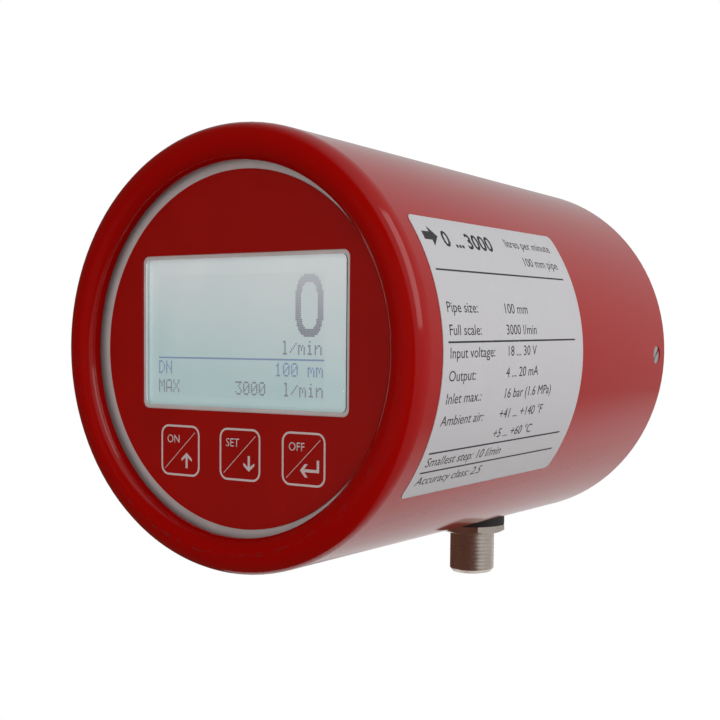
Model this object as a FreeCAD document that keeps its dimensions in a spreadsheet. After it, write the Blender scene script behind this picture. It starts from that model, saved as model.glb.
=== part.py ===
# Display head of a differential-pressure flow meter, in millimetres.
# The tube's axis lies along Y: the keypad face looks towards -Y, the pressure ports leave towards +Y,
# and Z is up. The origin is the centre of the rear face, and "ahead" is a distance from that face
# towards the keypad. A "depth" is a distance behind the front crest of the lip.
import FreeCAD, Part
import math
import os
import re
import Sketcher

DOC = FreeCAD.newDocument("flow_meter_head")
SHEET = DOC.addObject("Spreadsheet::Sheet", "Sizes")

# Driving sizes: alias, size, meaning
DRIVING_SIZES = [
    ("slip", 0.1, "gap between pieces that slide together"),
    ("thread_gap", 0.05, "gap between a plain screw shank and its tapped hole"),
    ("edge_break", 0.6, "chamfer of turned edges"),
    # housing tube
    ("tube_length", 128.5, "front crest of the lip to the rear face"),
    ("tube_radius", 45.0, "outside of the tube"),
    ("bore_radius", 41.0, "inside of the tube"),
    ("lip_outer_round", 4.4, "round from the crest of the lip to the outside"),
    ("lip_inner_round", 3.1, "round from the crest of the lip to the opening"),
    ("lip_deep", 3.8, "crest of the lip to its back, where the front seal lies"),
    # body seals
    ("front_seal_radius", 39.4, "inside of the flat seal under the lip"),
    ("seal_wide", 1.6, "groove width of the rear seal"),
    ("seal_floor_radius", 39.5, "floor radius of its groove"),
    # spring clip behind the face plate
    ("clip_thick", 1.6, "thickness of the clip"),
    ("clip_bite", 1.5, "depth of the clip's groove in the bore"),
    ("clip_inner_radius", 38.2, "inside of the clip"),
    ("clip_gap_angle", 9.0, "half angle of the clip's gap"),
    ("clip_lug_angle", 12.5, "angle of each lug from the top"),
    ("clip_lug_radius", 2.6, "radius of each lug"),
    ("clip_eye_radius", 1.0, "plier hole in each lug"),
    # keypad face
    ("foil_depth", 5.3, "crest of the lip to the front of the foil"),
    ("foil_thick", 0.4, "thickness of the foil"),
    ("foil_radius", 36.1, "edge of the foil"),
    ("plate_back_depth", 10.5, "crest of the lip to the back of the face plate"),
    ("window_wide", 51.4, "display window"),
    ("window_tall", 30.3, "display window"),
    ("window_rise", 3.5, "middle of the window above the axis"),
    ("window_corner", 1.2, "corner round of the window"),
    ("border", 0.8, "bare plate between the window and the foil"),
    ("web_thick", 0.6, "plate left in front of the pane"),
    ("pane_lap", 1.2, "pane hidden behind the window's edge"),
    ("pane_thick", 0.8, "clear pane"),
    ("glass_thick", 2.0, "liquid crystal cell"),
    ("light_thick", 3.5, "backlight"),
    ("frame_wall", 2.0, "wall of the display carrier"),
    ("frame_web", 1.5, "floor of the display carrier"),
    # keys
    ("key_pitch", 15.9, "spacing of the keys"),
    ("key_drop", 21.0, "middle of the keys below the axis"),
    ("key_size", 11.8, "key cap across its sides"),
    ("key_corner", 0.8, "corner round of a key cap"),
    ("key_play", 0.3, "gap round a key cap"),
    ("key_flange", 13.4, "flange that keeps a key cap in the plate"),
    ("key_flange_thick", 0.9, "thickness of that flange"),
    ("key_flange_depth", 9.2, "crest of the lip to the front of that flange"),
    ("pusher_radius", 2.0, "pusher at the back of a key cap"),
    ("pusher_length", 2.0, "length of the pusher"),
    ("switch_size", 6.0, "switch under a key"),
    ("switch_tall", 3.4, "height of its case"),
    ("switch_button_radius", 1.7, "button of the switch"),
    ("switch_button_tall", 0.6, "height of the button"),
    # boards and what carries them
    ("board_radius", 38.5, "edge of both boards"),
    ("board_thick", 1.6, "thickness of both boards"),
    ("display_board_depth", 16.5, "crest of the lip to the display board"),
    ("main_board_depth", 36.0, "crest of the lip to the main board"),
    ("pillar_circle", 34.5, "distance of the pillars from the axis"),
    ("pillar_high_angle", 10.0, "two upper pillars above the level"),
    ("pillar_low_angle", 42.0, "two lower pillars below the level"),
    ("pillar_flats", 5.0, "pillars across flats"),
    ("stud_radius", 1.45, "small screw threads"),
    ("stud_length", 2.3, "stud of a pillar in the face plate"),
    ("stud_reach", 3.5, "thread taken up by a pillar or spacer"),
    ("pan_radius", 2.75, "head of a board screw"),
    ("pan_tall", 2.0, "head of a board screw"),
    ("link_wide", 25.4, "plug strip between the boards"),
    ("link_thick", 5.0, "plug strip between the boards"),
    ("link_rise", 28.0, "plug strip above the axis"),
    ("terminal_wide", 15.0, "terminal block"),
    ("terminal_high", 8.0, "terminal block"),
    ("terminal_long", 10.0, "terminal block"),
    ("terminal_grip", 4.0, "length of lead held in a terminal block"),
    ("supply_drop", 24.0, "supply terminals below the axis"),
    ("sensor_rise", 20.0, "sensor terminals above the axis"),
    # leads
    ("supply_lead_radius", 2.0, "lead from the plug"),
    ("supply_bend", 10.0, "bend of that lead"),
    ("sensor_lead_radius", 1.6, "lead from the cell"),
    ("sensor_lead_rise", 8.0, "start of that lead above the axis"),
    ("sensor_lead_run", 10.5, "straight start of that lead"),
    ("sensor_lead_slope", 16.0, "length over which it rises"),
    ("sensor_bend", 14.0, "bends of that lead"),
    # pressure cell
    ("cell_wide", 56.0, "cell block"),
    ("cell_high", 32.0, "cell block"),
    ("cell_long", 22.0, "cell block"),
    ("cell_corner", 6.0, "corner round of the block"),
    ("neck_radius", 13.0, "round electronics housing on the block"),
    ("neck_long", 8.0, "length of that housing"),
    ("neck_round", 2.0, "edge round of that housing"),
    ("cell_screw_out", 23.0, "cell screws from the middle"),
    ("cell_screw_up", 11.0, "cell screws from the level"),
    ("cell_screw_radius", 1.95, "thread of a cell screw"),
    ("cell_screw_reach", 9.0, "thread of a cell screw in the rear plate"),
    ("cap_radius", 3.5, "head of a cell screw"),
    ("cap_tall", 4.0, "head of a cell screw"),
    ("socket_flats", 3.0, "hexagon socket of a cell screw"),
    ("socket_deep", 2.0, "hexagon socket of a cell screw"),
    # rear plate
    ("rear_thick", 16.0, "rear plate"),
    ("rear_seal_ahead", 11.5, "rear face to the back of the seal groove"),
    ("port_spacing", 36.0, "distance between the pressure ports"),
    ("port_radius", 5.72, "core of the quarter-inch pipe thread"),
    ("port_deep", 11.0, "depth of a port"),
    ("port_chamfer", 0.9, "lead-in of a port"),
    ("channel_radius", 1.5, "passage from a port to the cell"),
    ("inlet_deep", 6.0, "passage inside the cell block"),
    ("inlet_seal_radius", 3.9, "outside of an inlet seal"),
    ("inlet_seal_hole", 1.9, "inside of an inlet seal"),
    ("inlet_seal_tall", 1.4, "height of an inlet seal"),
    # side screws
    ("screw_ahead", 6.4, "rear face to the side screws"),
    ("screw_angle", 0.5, "first side screw below the level"),
    ("screw_count", 3.0, "side screws round the tube"),
    ("screw_radius", 1.2, "thread of a side screw"),
    ("screw_clear_radius", 1.35, "hole for it in the tube"),
    ("screw_head_radius", 2.35, "its countersunk head"),
    ("screw_sink", 0.25, "head below the outside of the tube"),
    ("screw_tip_radius", 34.0, "tip of the screw from the axis"),
    ("screw_hole_radius", 32.0, "floor of its tapped hole from the axis"),
    ("slot_wide", 0.7, "slot of a side screw"),
    ("slot_deep", 0.6, "slot of a side screw"),
    ("slot_turn", 40.0, "direction of that slot"),
    # plug
    ("plug_ahead", 24.2, "rear face to the middle of the plug"),
    ("seat_drop", 44.0, "axis to the milled seat of the plug"),
    ("seat_radius", 9.5, "milled seat"),
    ("shank_radius", 6.2, "thread of the plug in the tube"),
    ("shank_top_drop", 36.5, "axis to the inner end of the plug"),
    ("gasket_thick", 2.8, "seal under the hexagon"),
    ("gasket_radius", 8.7, "seal under the hexagon"),
    ("hexagon_flats", 16.0, "hexagon across flats"),
    ("hexagon_thick", 2.0, "hexagon"),
    ("hexagon_turn", 52.4, "corner of the hexagon from the X axis"),
    ("barrel_radius", 6.0, "screw-lock thread"),
    ("barrel_long", 11.1, "screw-lock thread below the hexagon"),
    ("barrel_end_radius", 5.15, "end of the barrel"),
    ("barrel_chamfer", 1.0, "length of its chamfer"),
    ("socket_radius", 4.6, "inside of the barrel"),
    ("insert_drop", 51.6, "axis to the face of the insert"),
    ("pin_radius", 0.5, "contact pin"),
    ("pin_circle", 2.8, "contact pins from the plug's middle"),
    ("pin_top_drop", 38.0, "axis to the inner end of the pins"),
    ("pin_end_drop", 58.7, "axis to the tips of the pins"),
    ("rib_wide", 1.2, "coding rib of the insert"),
    ("rib_deep", 0.8, "coding rib of the insert"),
    ("rib_long", 6.0, "coding rib of the insert"),
    # label
    ("label_thick", 0.12, "adhesive label"),
    ("label_top_angle", 35.9, "upper edge of the label"),
    ("label_low_angle", -38.0, "lower edge of the label"),
    ("label_front_depth", 8.7, "crest of the lip to the label"),
    ("label_long", 65.0, "label along the tube"),
    ("label_corner", 2.0, "corner round of the label"),
]

for row, (alias, size, meaning) in enumerate(DRIVING_SIZES, start=1):
    SHEET.set("A%d" % row, meaning)
    SHEET.set("B%d" % row, str(size))
    SHEET.setAlias("B%d" % row, alias)
DOC.recompute()
ALIASES = {alias for alias, size, meaning in DRIVING_SIZES}

# Places that follow from the driving sizes
LIP_RADIUS = "(tube_radius - lip_outer_round - lip_inner_round)"
LIP_BACK = "(tube_length - lip_deep)"
PLATE_FRONT = "(tube_length - foil_depth - foil_thick)"
PLATE_BACK = "(tube_length - plate_back_depth)"
PANE_FRONT = "(%s - web_thick)" % PLATE_FRONT
PANE_WIDE = "(window_wide + 2 * pane_lap)"
PANE_TALL = "(window_tall + 2 * pane_lap)"
GLASS_FRONT = "(%s - pane_thick)" % PANE_FRONT
LIGHT_FRONT = "(%s - glass_thick)" % GLASS_FRONT
DISPLAY_BOARD_FRONT = "(tube_length - display_board_depth)"
DISPLAY_BOARD_BACK = "(%s - board_thick)" % DISPLAY_BOARD_FRONT
MAIN_BOARD_FRONT = "(tube_length - main_board_depth)"
MAIN_BOARD_BACK = "(%s - board_thick)" % MAIN_BOARD_FRONT
TERMINAL_BACK = "(%s - terminal_long)" % MAIN_BOARD_BACK
HEXAGON_TOP = "(seat_drop + gasket_thick)"
HEXAGON_FOOT = "(%s + hexagon_thick)" % HEXAGON_TOP
BARREL_END = "(%s + barrel_long)" % HEXAGON_FOOT

KEY_PLACES = {"on_key": "-key_pitch", "set_key": "0", "off_key": "key_pitch"}
PILLAR_PLACES = [
    (side + "pillar_circle * cos(%s)" % angle, rise + "pillar_circle * sin(%s)" % angle)
    for angle, rise in (("pillar_high_angle", ""), ("pillar_low_angle", "-"))
    for side in ("", "-")
]
CELL_SCREW_PLACES = [
    (side + "cell_screw_out", rise + "cell_screw_up")
    for side in ("-", "")
    for rise in ("-", "")
]
PORT_PLACES = ["-port_spacing / 2", "port_spacing / 2"]
QUARTER_TURNS = [45, 135, 225, 315]

# Two lengths closer than this are the same
TOUCH = 1e-6


def cell(text):
    """Puts the sheet's name before each alias of an expression."""
    def named(word):
        return "Sizes." + word.group() if word.group() in ALIASES else word.group()

    return re.sub(r"[a-z_]+", named, text)


def number(text):
    """The present value of an expression."""
    return float(SHEET.evalExpression(cell(text)))


def body(label):
    """A new piece."""
    piece = DOC.addObject("PartDesign::Body", label)
    piece.Label = label
    return piece


def sketch(piece, plane_role, offset="0"):
    """A sketch on one of the piece's origin planes, moved along that plane's normal."""
    drawing = piece.newObject("Sketcher::SketchObject", piece.Name + "_sketch")
    plane = next(item for item in piece.Origin.OriginFeatures if item.Role == plane_role)
    drawing.AttachmentSupport = [(plane, "")]
    drawing.MapMode = "FlatFace"
    drawing.setExpression("AttachmentOffset.Base.z", cell(offset))
    return drawing


def cross_section(piece, ahead):
    """A sketch square to the tube's axis, seen from the front: X across and Z up."""
    return sketch(piece, "XZ_Plane", ahead)


def screw_section(piece):
    """A sketch through the first side screw: its X axis is the screw's axis, outwards."""
    drawing = sketch(piece, "XY_Plane")
    turn = FreeCAD.Rotation(FreeCAD.Vector(0, 1, 0), number("screw_angle"))
    drawing.AttachmentOffset = FreeCAD.Placement(FreeCAD.Vector(), turn)
    drawing.setExpression("AttachmentOffset.Rotation.Angle", cell("screw_angle"))
    drawing.setExpression("AttachmentOffset.Base.y", cell("-screw_ahead"))
    return drawing


def hold(drawing, geometry, end, across, along):
    """Holds one end of a line or arc, or a circle's centre, at a place in its sketch."""
    for kind, text in (("DistanceX", across), ("DistanceY", along)):
        index = drawing.addConstraint(Sketcher.Constraint(kind, -1, 1, geometry, end, number(text)))
        drawing.setExpression("Constraints[%d]" % index, cell(text))


def hold_radius(drawing, geometry, radius):
    """Holds the radius of a circle or arc."""
    index = drawing.addConstraint(Sketcher.Constraint("Radius", geometry, number(radius)))
    drawing.setExpression("Constraints[%d]" % index, cell(radius))


def circle(drawing, across, along, radius):
    """Draws a circle."""
    centre = FreeCAD.Vector(number(across), number(along), 0)
    ring = drawing.addGeometry(Part.Circle(centre, FreeCAD.Vector(0, 0, 1), number(radius)))
    hold(drawing, ring, 3, across, along)
    hold_radius(drawing, ring, radius)


def arc_between(start, finish, radius, turn):
    """The arc of up to half a turn from start to finish, and whether it is drawn from its finish."""
    chord = finish - start
    rise = math.sqrt(max(radius ** 2 - (chord.Length / 2) ** 2, 0))
    to_left = FreeCAD.Vector(-chord.y, chord.x, 0).normalize()
    centre = (start + finish) / 2 + to_left * (rise if turn == "left" else -rise)
    first, last = (start, finish) if turn == "left" else (finish, start)
    first_angle = math.atan2(first.y - centre.y, first.x - centre.x)
    last_angle = math.atan2(last.y - centre.y, last.x - centre.x)
    if last_angle < first_angle:
        last_angle += 2 * math.pi
    ring = Part.Circle(centre, FreeCAD.Vector(0, 0, 1), radius)
    return Part.ArcOfCircle(ring, first_angle, last_angle), turn == "right"


def outline(drawing, corners):
    """Draws a closed outline. A corner is (across, along). Where a round stretch leads on to the next
    corner, it is (across, along, radius, turn), with the turn left or right."""
    places = [FreeCAD.Vector(number(corner[0]), number(corner[1]), 0) for corner in corners]
    ends = []
    for index, corner in enumerate(corners):
        start, finish = places[index], places[(index + 1) % len(places)]
        if len(corner) == 2:
            edge, backwards = Part.LineSegment(start, finish), False
        else:
            edge, backwards = arc_between(start, finish, number(corner[2]), corner[3])
        geometry = drawing.addGeometry(edge)
        ends.append((geometry, 2, 1) if backwards else (geometry, 1, 2))
    for index, corner in enumerate(corners):
        geometry, start_end, finish_end = ends[index]
        following, following_start, _ = ends[(index + 1) % len(ends)]
        joint = Sketcher.Constraint("Coincident", geometry, finish_end, following, following_start)
        drawing.addConstraint(joint)
        hold(drawing, geometry, start_end, corner[0], corner[1])
        if len(corner) > 2:
            hold_radius(drawing, geometry, corner[2])


def rectangle(drawing, across, along, wide, tall):
    """Draws an upright rectangle round its middle."""
    left, right = "%s - %s / 2" % (across, wide), "%s + %s / 2" % (across, wide)
    foot, top = "%s - %s / 2" % (along, tall), "%s + %s / 2" % (along, tall)
    outline(drawing, [(left, foot), (right, foot), (right, top), (left, top)])


def rounded_rectangle(drawing, across, along, wide, tall, corner):
    """Draws an upright rectangle with round corners round its middle."""
    left, right = "%s - %s / 2" % (across, wide), "%s + %s / 2" % (across, wide)
    foot, top = "%s - %s / 2" % (along, tall), "%s + %s / 2" % (along, tall)
    outline(drawing, [
        (left + " + " + corner, foot),
        (right + " - " + corner, foot, corner, "left"),
        (right, foot + " + " + corner),
        (right, top + " - " + corner, corner, "left"),
        (right + " - " + corner, top),
        (left + " + " + corner, top, corner, "left"),
        (left, top + " - " + corner),
        (left, foot + " + " + corner, corner, "left"),
    ])


def hexagon(drawing, across, along, flats, turn="0"):
    """Draws a hexagon with one corner turned from the across direction."""
    reach = "%s / 2 / cos(30)" % flats
    corners = []
    for step in range(6):
        angle = "(%s + %d)" % (turn, 60 * step)
        corner_across = "%s + %s * cos%s" % (across, reach, angle)
        corner_along = "%s + %s * sin%s" % (along, reach, angle)
        corners.append((corner_across, corner_along))
    outline(drawing, corners)


def pad(piece, drawing, length):
    """Extrudes a sketch along its normal."""
    feature = piece.newObject("PartDesign::Pad", piece.Name + "_pad")
    feature.Profile = drawing
    feature.setExpression("Length", cell(length))
    DOC.recompute()
    return feature


def pocket(piece, drawing, deep, along_normal=False):
    """Cuts a sketch into the piece, against its normal or along it."""
    before = piece.Shape.Volume
    feature = piece.newObject("PartDesign::Pocket", piece.Name + "_pocket")
    feature.Profile = drawing
    feature.Reversed = along_normal
    feature.setExpression("Length", cell(deep))
    DOC.recompute()
    if piece.Shape.Volume >= before:
        raise RuntimeError("a pocket of %s cuts nothing" % piece.Label)
    return feature


def turned(piece, drawing, axis="V_Axis"):
    """Revolves a profile about an axis of its sketch."""
    feature = piece.newObject("PartDesign::Revolution", piece.Name + "_turned")
    feature.Profile = drawing
    feature.ReferenceAxis = (drawing, [axis])
    feature.Angle = 360
    DOC.recompute()
    return feature


def groove(piece, drawing, axis="V_Axis"):
    """Cuts a revolved profile out of the piece."""
    before = piece.Shape.Volume
    feature = piece.newObject("PartDesign::Groove", piece.Name + "_groove")
    feature.Profile = drawing
    feature.ReferenceAxis = (drawing, [axis])
    feature.Angle = 360
    DOC.recompute()
    if piece.Shape.Volume >= before:
        raise RuntimeError("a groove of %s cuts nothing" % piece.Label)
    return feature


def repeat_round_axis(piece, features):
    """Repeats features for every side screw round the tube's axis."""
    pattern = piece.newObject("PartDesign::PolarPattern", piece.Name + "_round")
    pattern.Originals = features
    axis = next(item for item in piece.Origin.OriginFeatures if item.Role == "Y_Axis")
    pattern.Axis = (axis, [""])
    pattern.Angle = 360
    pattern.Occurrences = int(number("screw_count"))
    piece.Tip = pattern
    DOC.recompute()
    return pattern


def dress(piece, kind, size_name, size, feature, wanted):
    """Rounds or chamfers the edges of a feature that the test wanted picks."""
    edges = ["Edge%d" % index for index, edge in enumerate(feature.Shape.Edges, start=1) if wanted(edge)]
    if not edges:
        raise RuntimeError("%s has no such edge" % piece.Label)
    finish = piece.newObject("PartDesign::" + kind, piece.Name + "_" + kind.lower())
    finish.Base = (feature, edges)
    finish.setExpression(size_name, cell(size))
    DOC.recompute()
    return finish


def lead(label, points, radius, bend):
    """A round lead along straight runs with tangent bends. Its points lie in the YZ plane."""
    piece = DOC.addObject("Part::Feature", label)
    edges = []
    start = points[0]
    for corner, following in zip(points[1:-1], points[2:]):
        before = (corner - start).normalize()
        after = (following - corner).normalize()
        cut = bend * math.tan(before.getAngle(after) / 2)
        into, out = corner - before * cut, corner + after * cut
        middle = corner + (after - before).normalize() * (bend / math.cos(before.getAngle(after) / 2) - bend)
        edges.append(Part.LineSegment(start, into).toShape())
        edges.append(Part.Arc(into, middle, out).toShape())
        start = out
    edges.append(Part.LineSegment(start, points[-1]).toShape())
    path = Part.Wire(edges)
    section = Part.Wire(Part.Circle(points[0], points[1] - points[0], radius).toShape())
    piece.Shape = path.makePipeShell([section], True, False)
    full = math.pi * radius ** 2 * path.Length
    if abs(piece.Shape.Volume - full) > 0.01 * full:
        raise RuntimeError("%s has the wrong volume" % label)
    piece.Placement = FreeCAD.Placement()
    return piece


def housing_tube():
    """Turned tube with a rounded lip, the clip's groove, the plug's seat and the side screws' holes."""
    piece = body("housing_tube")
    profile = sketch(piece, "XY_Plane")
    outline(profile, [
        ("tube_radius - lip_outer_round", "-tube_length", "lip_outer_round", "left"),
        ("tube_radius", "-tube_length + lip_outer_round"),
        ("tube_radius", "-edge_break"),
        ("tube_radius - edge_break", "0"),
        ("bore_radius", "0"),
        ("bore_radius", "-" + LIP_BACK),
        (LIP_RADIUS, "-" + LIP_BACK),
        (LIP_RADIUS, "-tube_length + lip_inner_round", "lip_inner_round", "left"),
    ])
    turned(piece, profile)
    clip_groove = sketch(piece, "XY_Plane")
    groove_back = "-%s + clip_thick + slip" % PLATE_BACK
    outline(clip_groove, [
        ("bore_radius - clip_bite", "-" + PLATE_BACK),
        ("bore_radius + clip_bite", "-" + PLATE_BACK),
        ("bore_radius + clip_bite", groove_back),
        ("bore_radius - clip_bite", groove_back),
    ])
    groove(piece, clip_groove)
    seat = sketch(piece, "XY_Plane", "-seat_drop")
    circle(seat, "0", "-plug_ahead", "seat_radius")
    pocket(piece, seat, "tube_radius - seat_drop + slip")
    plug_hole = sketch(piece, "XY_Plane", "-seat_drop")
    circle(plug_hole, "0", "-plug_ahead", "shank_radius + thread_gap")
    pocket(piece, plug_hole, "seat_drop - shank_top_drop", along_normal=True)
    screw_hole = screw_section(piece)
    head_top = "(tube_radius - screw_sink)"
    outline(screw_hole, [
        ("bore_radius - edge_break", "0"),
        ("tube_radius + edge_break", "0"),
        ("tube_radius + edge_break", "screw_head_radius + thread_gap"),
        (head_top, "screw_head_radius + thread_gap"),
        (head_top + " - screw_head_radius - thread_gap + screw_clear_radius", "screw_clear_radius"),
        ("bore_radius - edge_break", "screw_clear_radius"),
    ])
    repeat_round_axis(piece, [groove(piece, screw_hole, "H_Axis")])
    return piece


def face_plate():
    """Round plate behind the foil: window, pane rebate, key openings and tapped holes for the pillars."""
    piece = body("face_plate")
    disc = cross_section(piece, PLATE_BACK)
    circle(disc, "0", "0", "bore_radius - slip")
    pad(piece, disc, "%s - %s" % (PLATE_FRONT, PLATE_BACK))
    window = cross_section(piece, PLATE_FRONT)
    rounded_rectangle(window, "0", "window_rise", "window_wide", "window_tall", "window_corner")
    pocket(piece, window, "plate_back_depth")
    rebate = cross_section(piece, PLATE_BACK)
    rebate_wide, rebate_tall = "(%s + 2 * slip)" % PANE_WIDE, "(%s + 2 * slip)" % PANE_TALL
    rounded_rectangle(rebate, "0", "window_rise", rebate_wide, rebate_tall, "window_corner")
    pocket(piece, rebate, "%s - %s" % (PANE_FRONT, PLATE_BACK), along_normal=True)
    openings = cross_section(piece, PLATE_FRONT)
    flange_seats = cross_section(piece, PLATE_BACK)
    for place in KEY_PLACES.values():
        opening = "(key_size + 2 * key_play)"
        rounded_rectangle(openings, place, "-key_drop", opening, opening, "key_corner")
        seat = "(key_flange + 2 * key_play)"
        rounded_rectangle(flange_seats, place, "-key_drop", seat, seat, "key_corner")
    pocket(piece, openings, "plate_back_depth")
    pocket(piece, flange_seats, "plate_back_depth - key_flange_depth + slip", along_normal=True)
    tapped = cross_section(piece, PLATE_BACK)
    for across, along in PILLAR_PLACES:
        circle(tapped, across, along, "stud_radius + thread_gap")
    pocket(piece, tapped, "stud_length + slip", along_normal=True)
    return piece


def front_seal():
    """Flat ring between the back of the lip and the face plate."""
    piece = body("front_seal")
    section = cross_section(piece, PLATE_FRONT)
    circle(section, "0", "0", "bore_radius - slip")
    circle(section, "0", "0", "front_seal_radius")
    pad(piece, section, "%s - %s" % (LIP_BACK, PLATE_FRONT))
    return piece


def rear_seal():
    """Square-section ring that fills its groove out to the bore."""
    piece = body("rear_seal")
    section = cross_section(piece, "rear_seal_ahead + thread_gap")
    circle(section, "0", "0", "bore_radius - thread_gap / 2")
    circle(section, "0", "0", "seal_floor_radius")
    pad(piece, section, "seal_wide - 2 * thread_gap")
    return piece


def retaining_ring():
    """Spring clip with a gap and two lugs at the top."""
    piece = body("retaining_ring")
    back = PLATE_BACK + " - clip_thick"
    outer, inner = "(bore_radius + clip_bite - slip)", "clip_inner_radius"
    section = cross_section(piece, back)
    outline(section, [
        ("-%s * sin(clip_gap_angle)" % outer, "%s * cos(clip_gap_angle)" % outer, outer, "left"),
        ("0", "-" + outer, outer, "left"),
        ("%s * sin(clip_gap_angle)" % outer, "%s * cos(clip_gap_angle)" % outer),
        ("%s * sin(clip_gap_angle)" % inner, "%s * cos(clip_gap_angle)" % inner, inner, "right"),
        ("0", "-" + inner, inner, "right"),
        ("-%s * sin(clip_gap_angle)" % inner, "%s * cos(clip_gap_angle)" % inner),
    ])
    pad(piece, section, "clip_thick")
    lugs = cross_section(piece, back)
    eyes = cross_section(piece, PLATE_BACK)
    for side in ("-", ""):
        across = "%s clip_inner_radius * sin(clip_lug_angle)" % side
        along = "clip_inner_radius * cos(clip_lug_angle)"
        circle(lugs, across, along, "clip_lug_radius")
        circle(eyes, across, along, "clip_eye_radius")
    pad(piece, lugs, "clip_thick")
    pocket(piece, eyes, "clip_thick")
    return piece


def keypad_foil():
    """One printed film, cut out round the display."""
    piece = body("keypad_foil")
    section = cross_section(piece, PLATE_FRONT)
    circle(section, "0", "0", "foil_radius")
    cut_wide, cut_tall = "(window_wide + 2 * border)", "(window_tall + 2 * border)"
    rounded_rectangle(section, "0", "window_rise", cut_wide, cut_tall, "window_corner + border / 2")
    pad(piece, section, "foil_thick")
    return piece


def display_layer(label, front, thick):
    """A rectangular layer of the display, in the face plate's rebate."""
    piece = body(label)
    section = cross_section(piece, "%s - %s" % (front, thick))
    rounded_rectangle(section, "0", "window_rise", PANE_WIDE, PANE_TALL, "window_corner")
    pad(piece, section, thick)
    return piece


def lcd_frame():
    """Moulded tray between the face plate and the display board: it holds the backlight and is hollow
    behind."""
    piece = body("lcd_frame")
    floor = "(%s - light_thick)" % LIGHT_FRONT
    outer_wide, outer_tall = "(%s + 2 * frame_wall)" % PANE_WIDE, "(%s + 2 * frame_wall)" % PANE_TALL
    section = cross_section(piece, DISPLAY_BOARD_FRONT)
    rounded_rectangle(section, "0", "window_rise", outer_wide, outer_tall, "frame_wall")
    front = PLATE_BACK + " - slip"
    pad(piece, section, "%s - %s" % (front, DISPLAY_BOARD_FRONT))
    tray = cross_section(piece, front)
    tray_wide, tray_tall = "(%s + 2 * slip)" % PANE_WIDE, "(%s + 2 * slip)" % PANE_TALL
    rounded_rectangle(tray, "0", "window_rise", tray_wide, tray_tall, "window_corner")
    pocket(piece, tray, "%s - %s" % (front, floor))
    hollow = cross_section(piece, DISPLAY_BOARD_FRONT)
    rounded_rectangle(hollow, "0", "window_rise", PANE_WIDE, PANE_TALL, "window_corner")
    pocket(piece, hollow, "%s - frame_web - %s" % (floor, DISPLAY_BOARD_FRONT), along_normal=True)
    return piece


def key_cap(label, place):
    """Key cap in the face plate: cap, retaining flange and the pusher over its switch."""
    piece = body(label)
    flange_front = "(tube_length - key_flange_depth)"
    cap = cross_section(piece, flange_front)
    rounded_rectangle(cap, place, "-key_drop", "key_size", "key_size", "key_corner")
    pad(piece, cap, "%s - slip - %s" % (PLATE_FRONT, flange_front))
    flange = cross_section(piece, flange_front + " - key_flange_thick")
    rounded_rectangle(flange, place, "-key_drop", "key_flange", "key_flange", "key_corner")
    pad(piece, flange, "key_flange_thick")
    pusher = cross_section(piece, flange_front + " - key_flange_thick - pusher_length")
    circle(pusher, place, "-key_drop", "pusher_radius")
    pad(piece, pusher, "pusher_length")
    return piece


def key_switches():
    """One short-travel switch under each key."""
    piece = body("key_switches")
    cases = cross_section(piece, DISPLAY_BOARD_FRONT)
    buttons = cross_section(piece, DISPLAY_BOARD_FRONT + " + switch_tall")
    for place in KEY_PLACES.values():
        rectangle(cases, place, "-key_drop", "switch_size", "switch_size")
        circle(buttons, place, "-key_drop", "switch_button_radius")
    pad(piece, cases, "switch_tall")
    pad(piece, buttons, "switch_button_tall")
    return piece


def board(label, front):
    """Round circuit board with a hole at each pillar."""
    piece = body(label)
    section = cross_section(piece, "%s - board_thick" % front)
    circle(section, "0", "0", "board_radius")
    for across, along in PILLAR_PLACES:
        circle(section, across, along, "stud_radius + slip")
    pad(piece, section, "board_thick")
    return piece


def hexagon_pillars(label, back, front, stud):
    """Hexagon pillars with a stud in front and a tapped hole behind."""
    piece = body(label)
    shafts = cross_section(piece, back)
    studs = cross_section(piece, front)
    holes = cross_section(piece, back)
    for across, along in PILLAR_PLACES:
        hexagon(shafts, across, along, "pillar_flats")
        circle(studs, across, along, "stud_radius")
        circle(holes, across, along, "stud_radius + thread_gap")
    pad(piece, shafts, "%s - %s" % (front, back))
    pad(piece, studs, stud)
    pocket(piece, holes, "stud_reach + slip", along_normal=True)
    return piece


def board_screws():
    """Pan-head screws behind the main board."""
    piece = body("board_screws")
    heads = cross_section(piece, MAIN_BOARD_BACK + " - pan_tall")
    shanks = cross_section(piece, MAIN_BOARD_BACK)
    for across, along in PILLAR_PLACES:
        circle(heads, across, along, "pan_radius")
        circle(shanks, across, along, "stud_radius")
    pad(piece, heads, "pan_tall")
    pad(piece, shanks, "board_thick + stud_reach")
    return piece


def board_link():
    """Plug strip that joins the two boards."""
    piece = body("board_link")
    section = cross_section(piece, MAIN_BOARD_FRONT)
    rectangle(section, "0", "link_rise", "link_wide", "link_thick")
    pad(piece, section, "%s - %s" % (DISPLAY_BOARD_BACK, MAIN_BOARD_FRONT))
    return piece


def terminal_blocks():
    """Terminals for the supply, below, and for the sensor, above, with the entry of each lead."""
    piece = body("terminal_blocks")
    blocks = cross_section(piece, TERMINAL_BACK)
    entries = cross_section(piece, TERMINAL_BACK)
    for along, radius in (("-supply_drop", "supply_lead_radius"), ("sensor_rise", "sensor_lead_radius")):
        rectangle(blocks, "0", along, "terminal_wide", "terminal_high")
        circle(entries, "0", along, radius + " + thread_gap")
    pad(piece, blocks, "terminal_long")
    pocket(piece, entries, "terminal_grip + slip", along_normal=True)
    return piece


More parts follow.
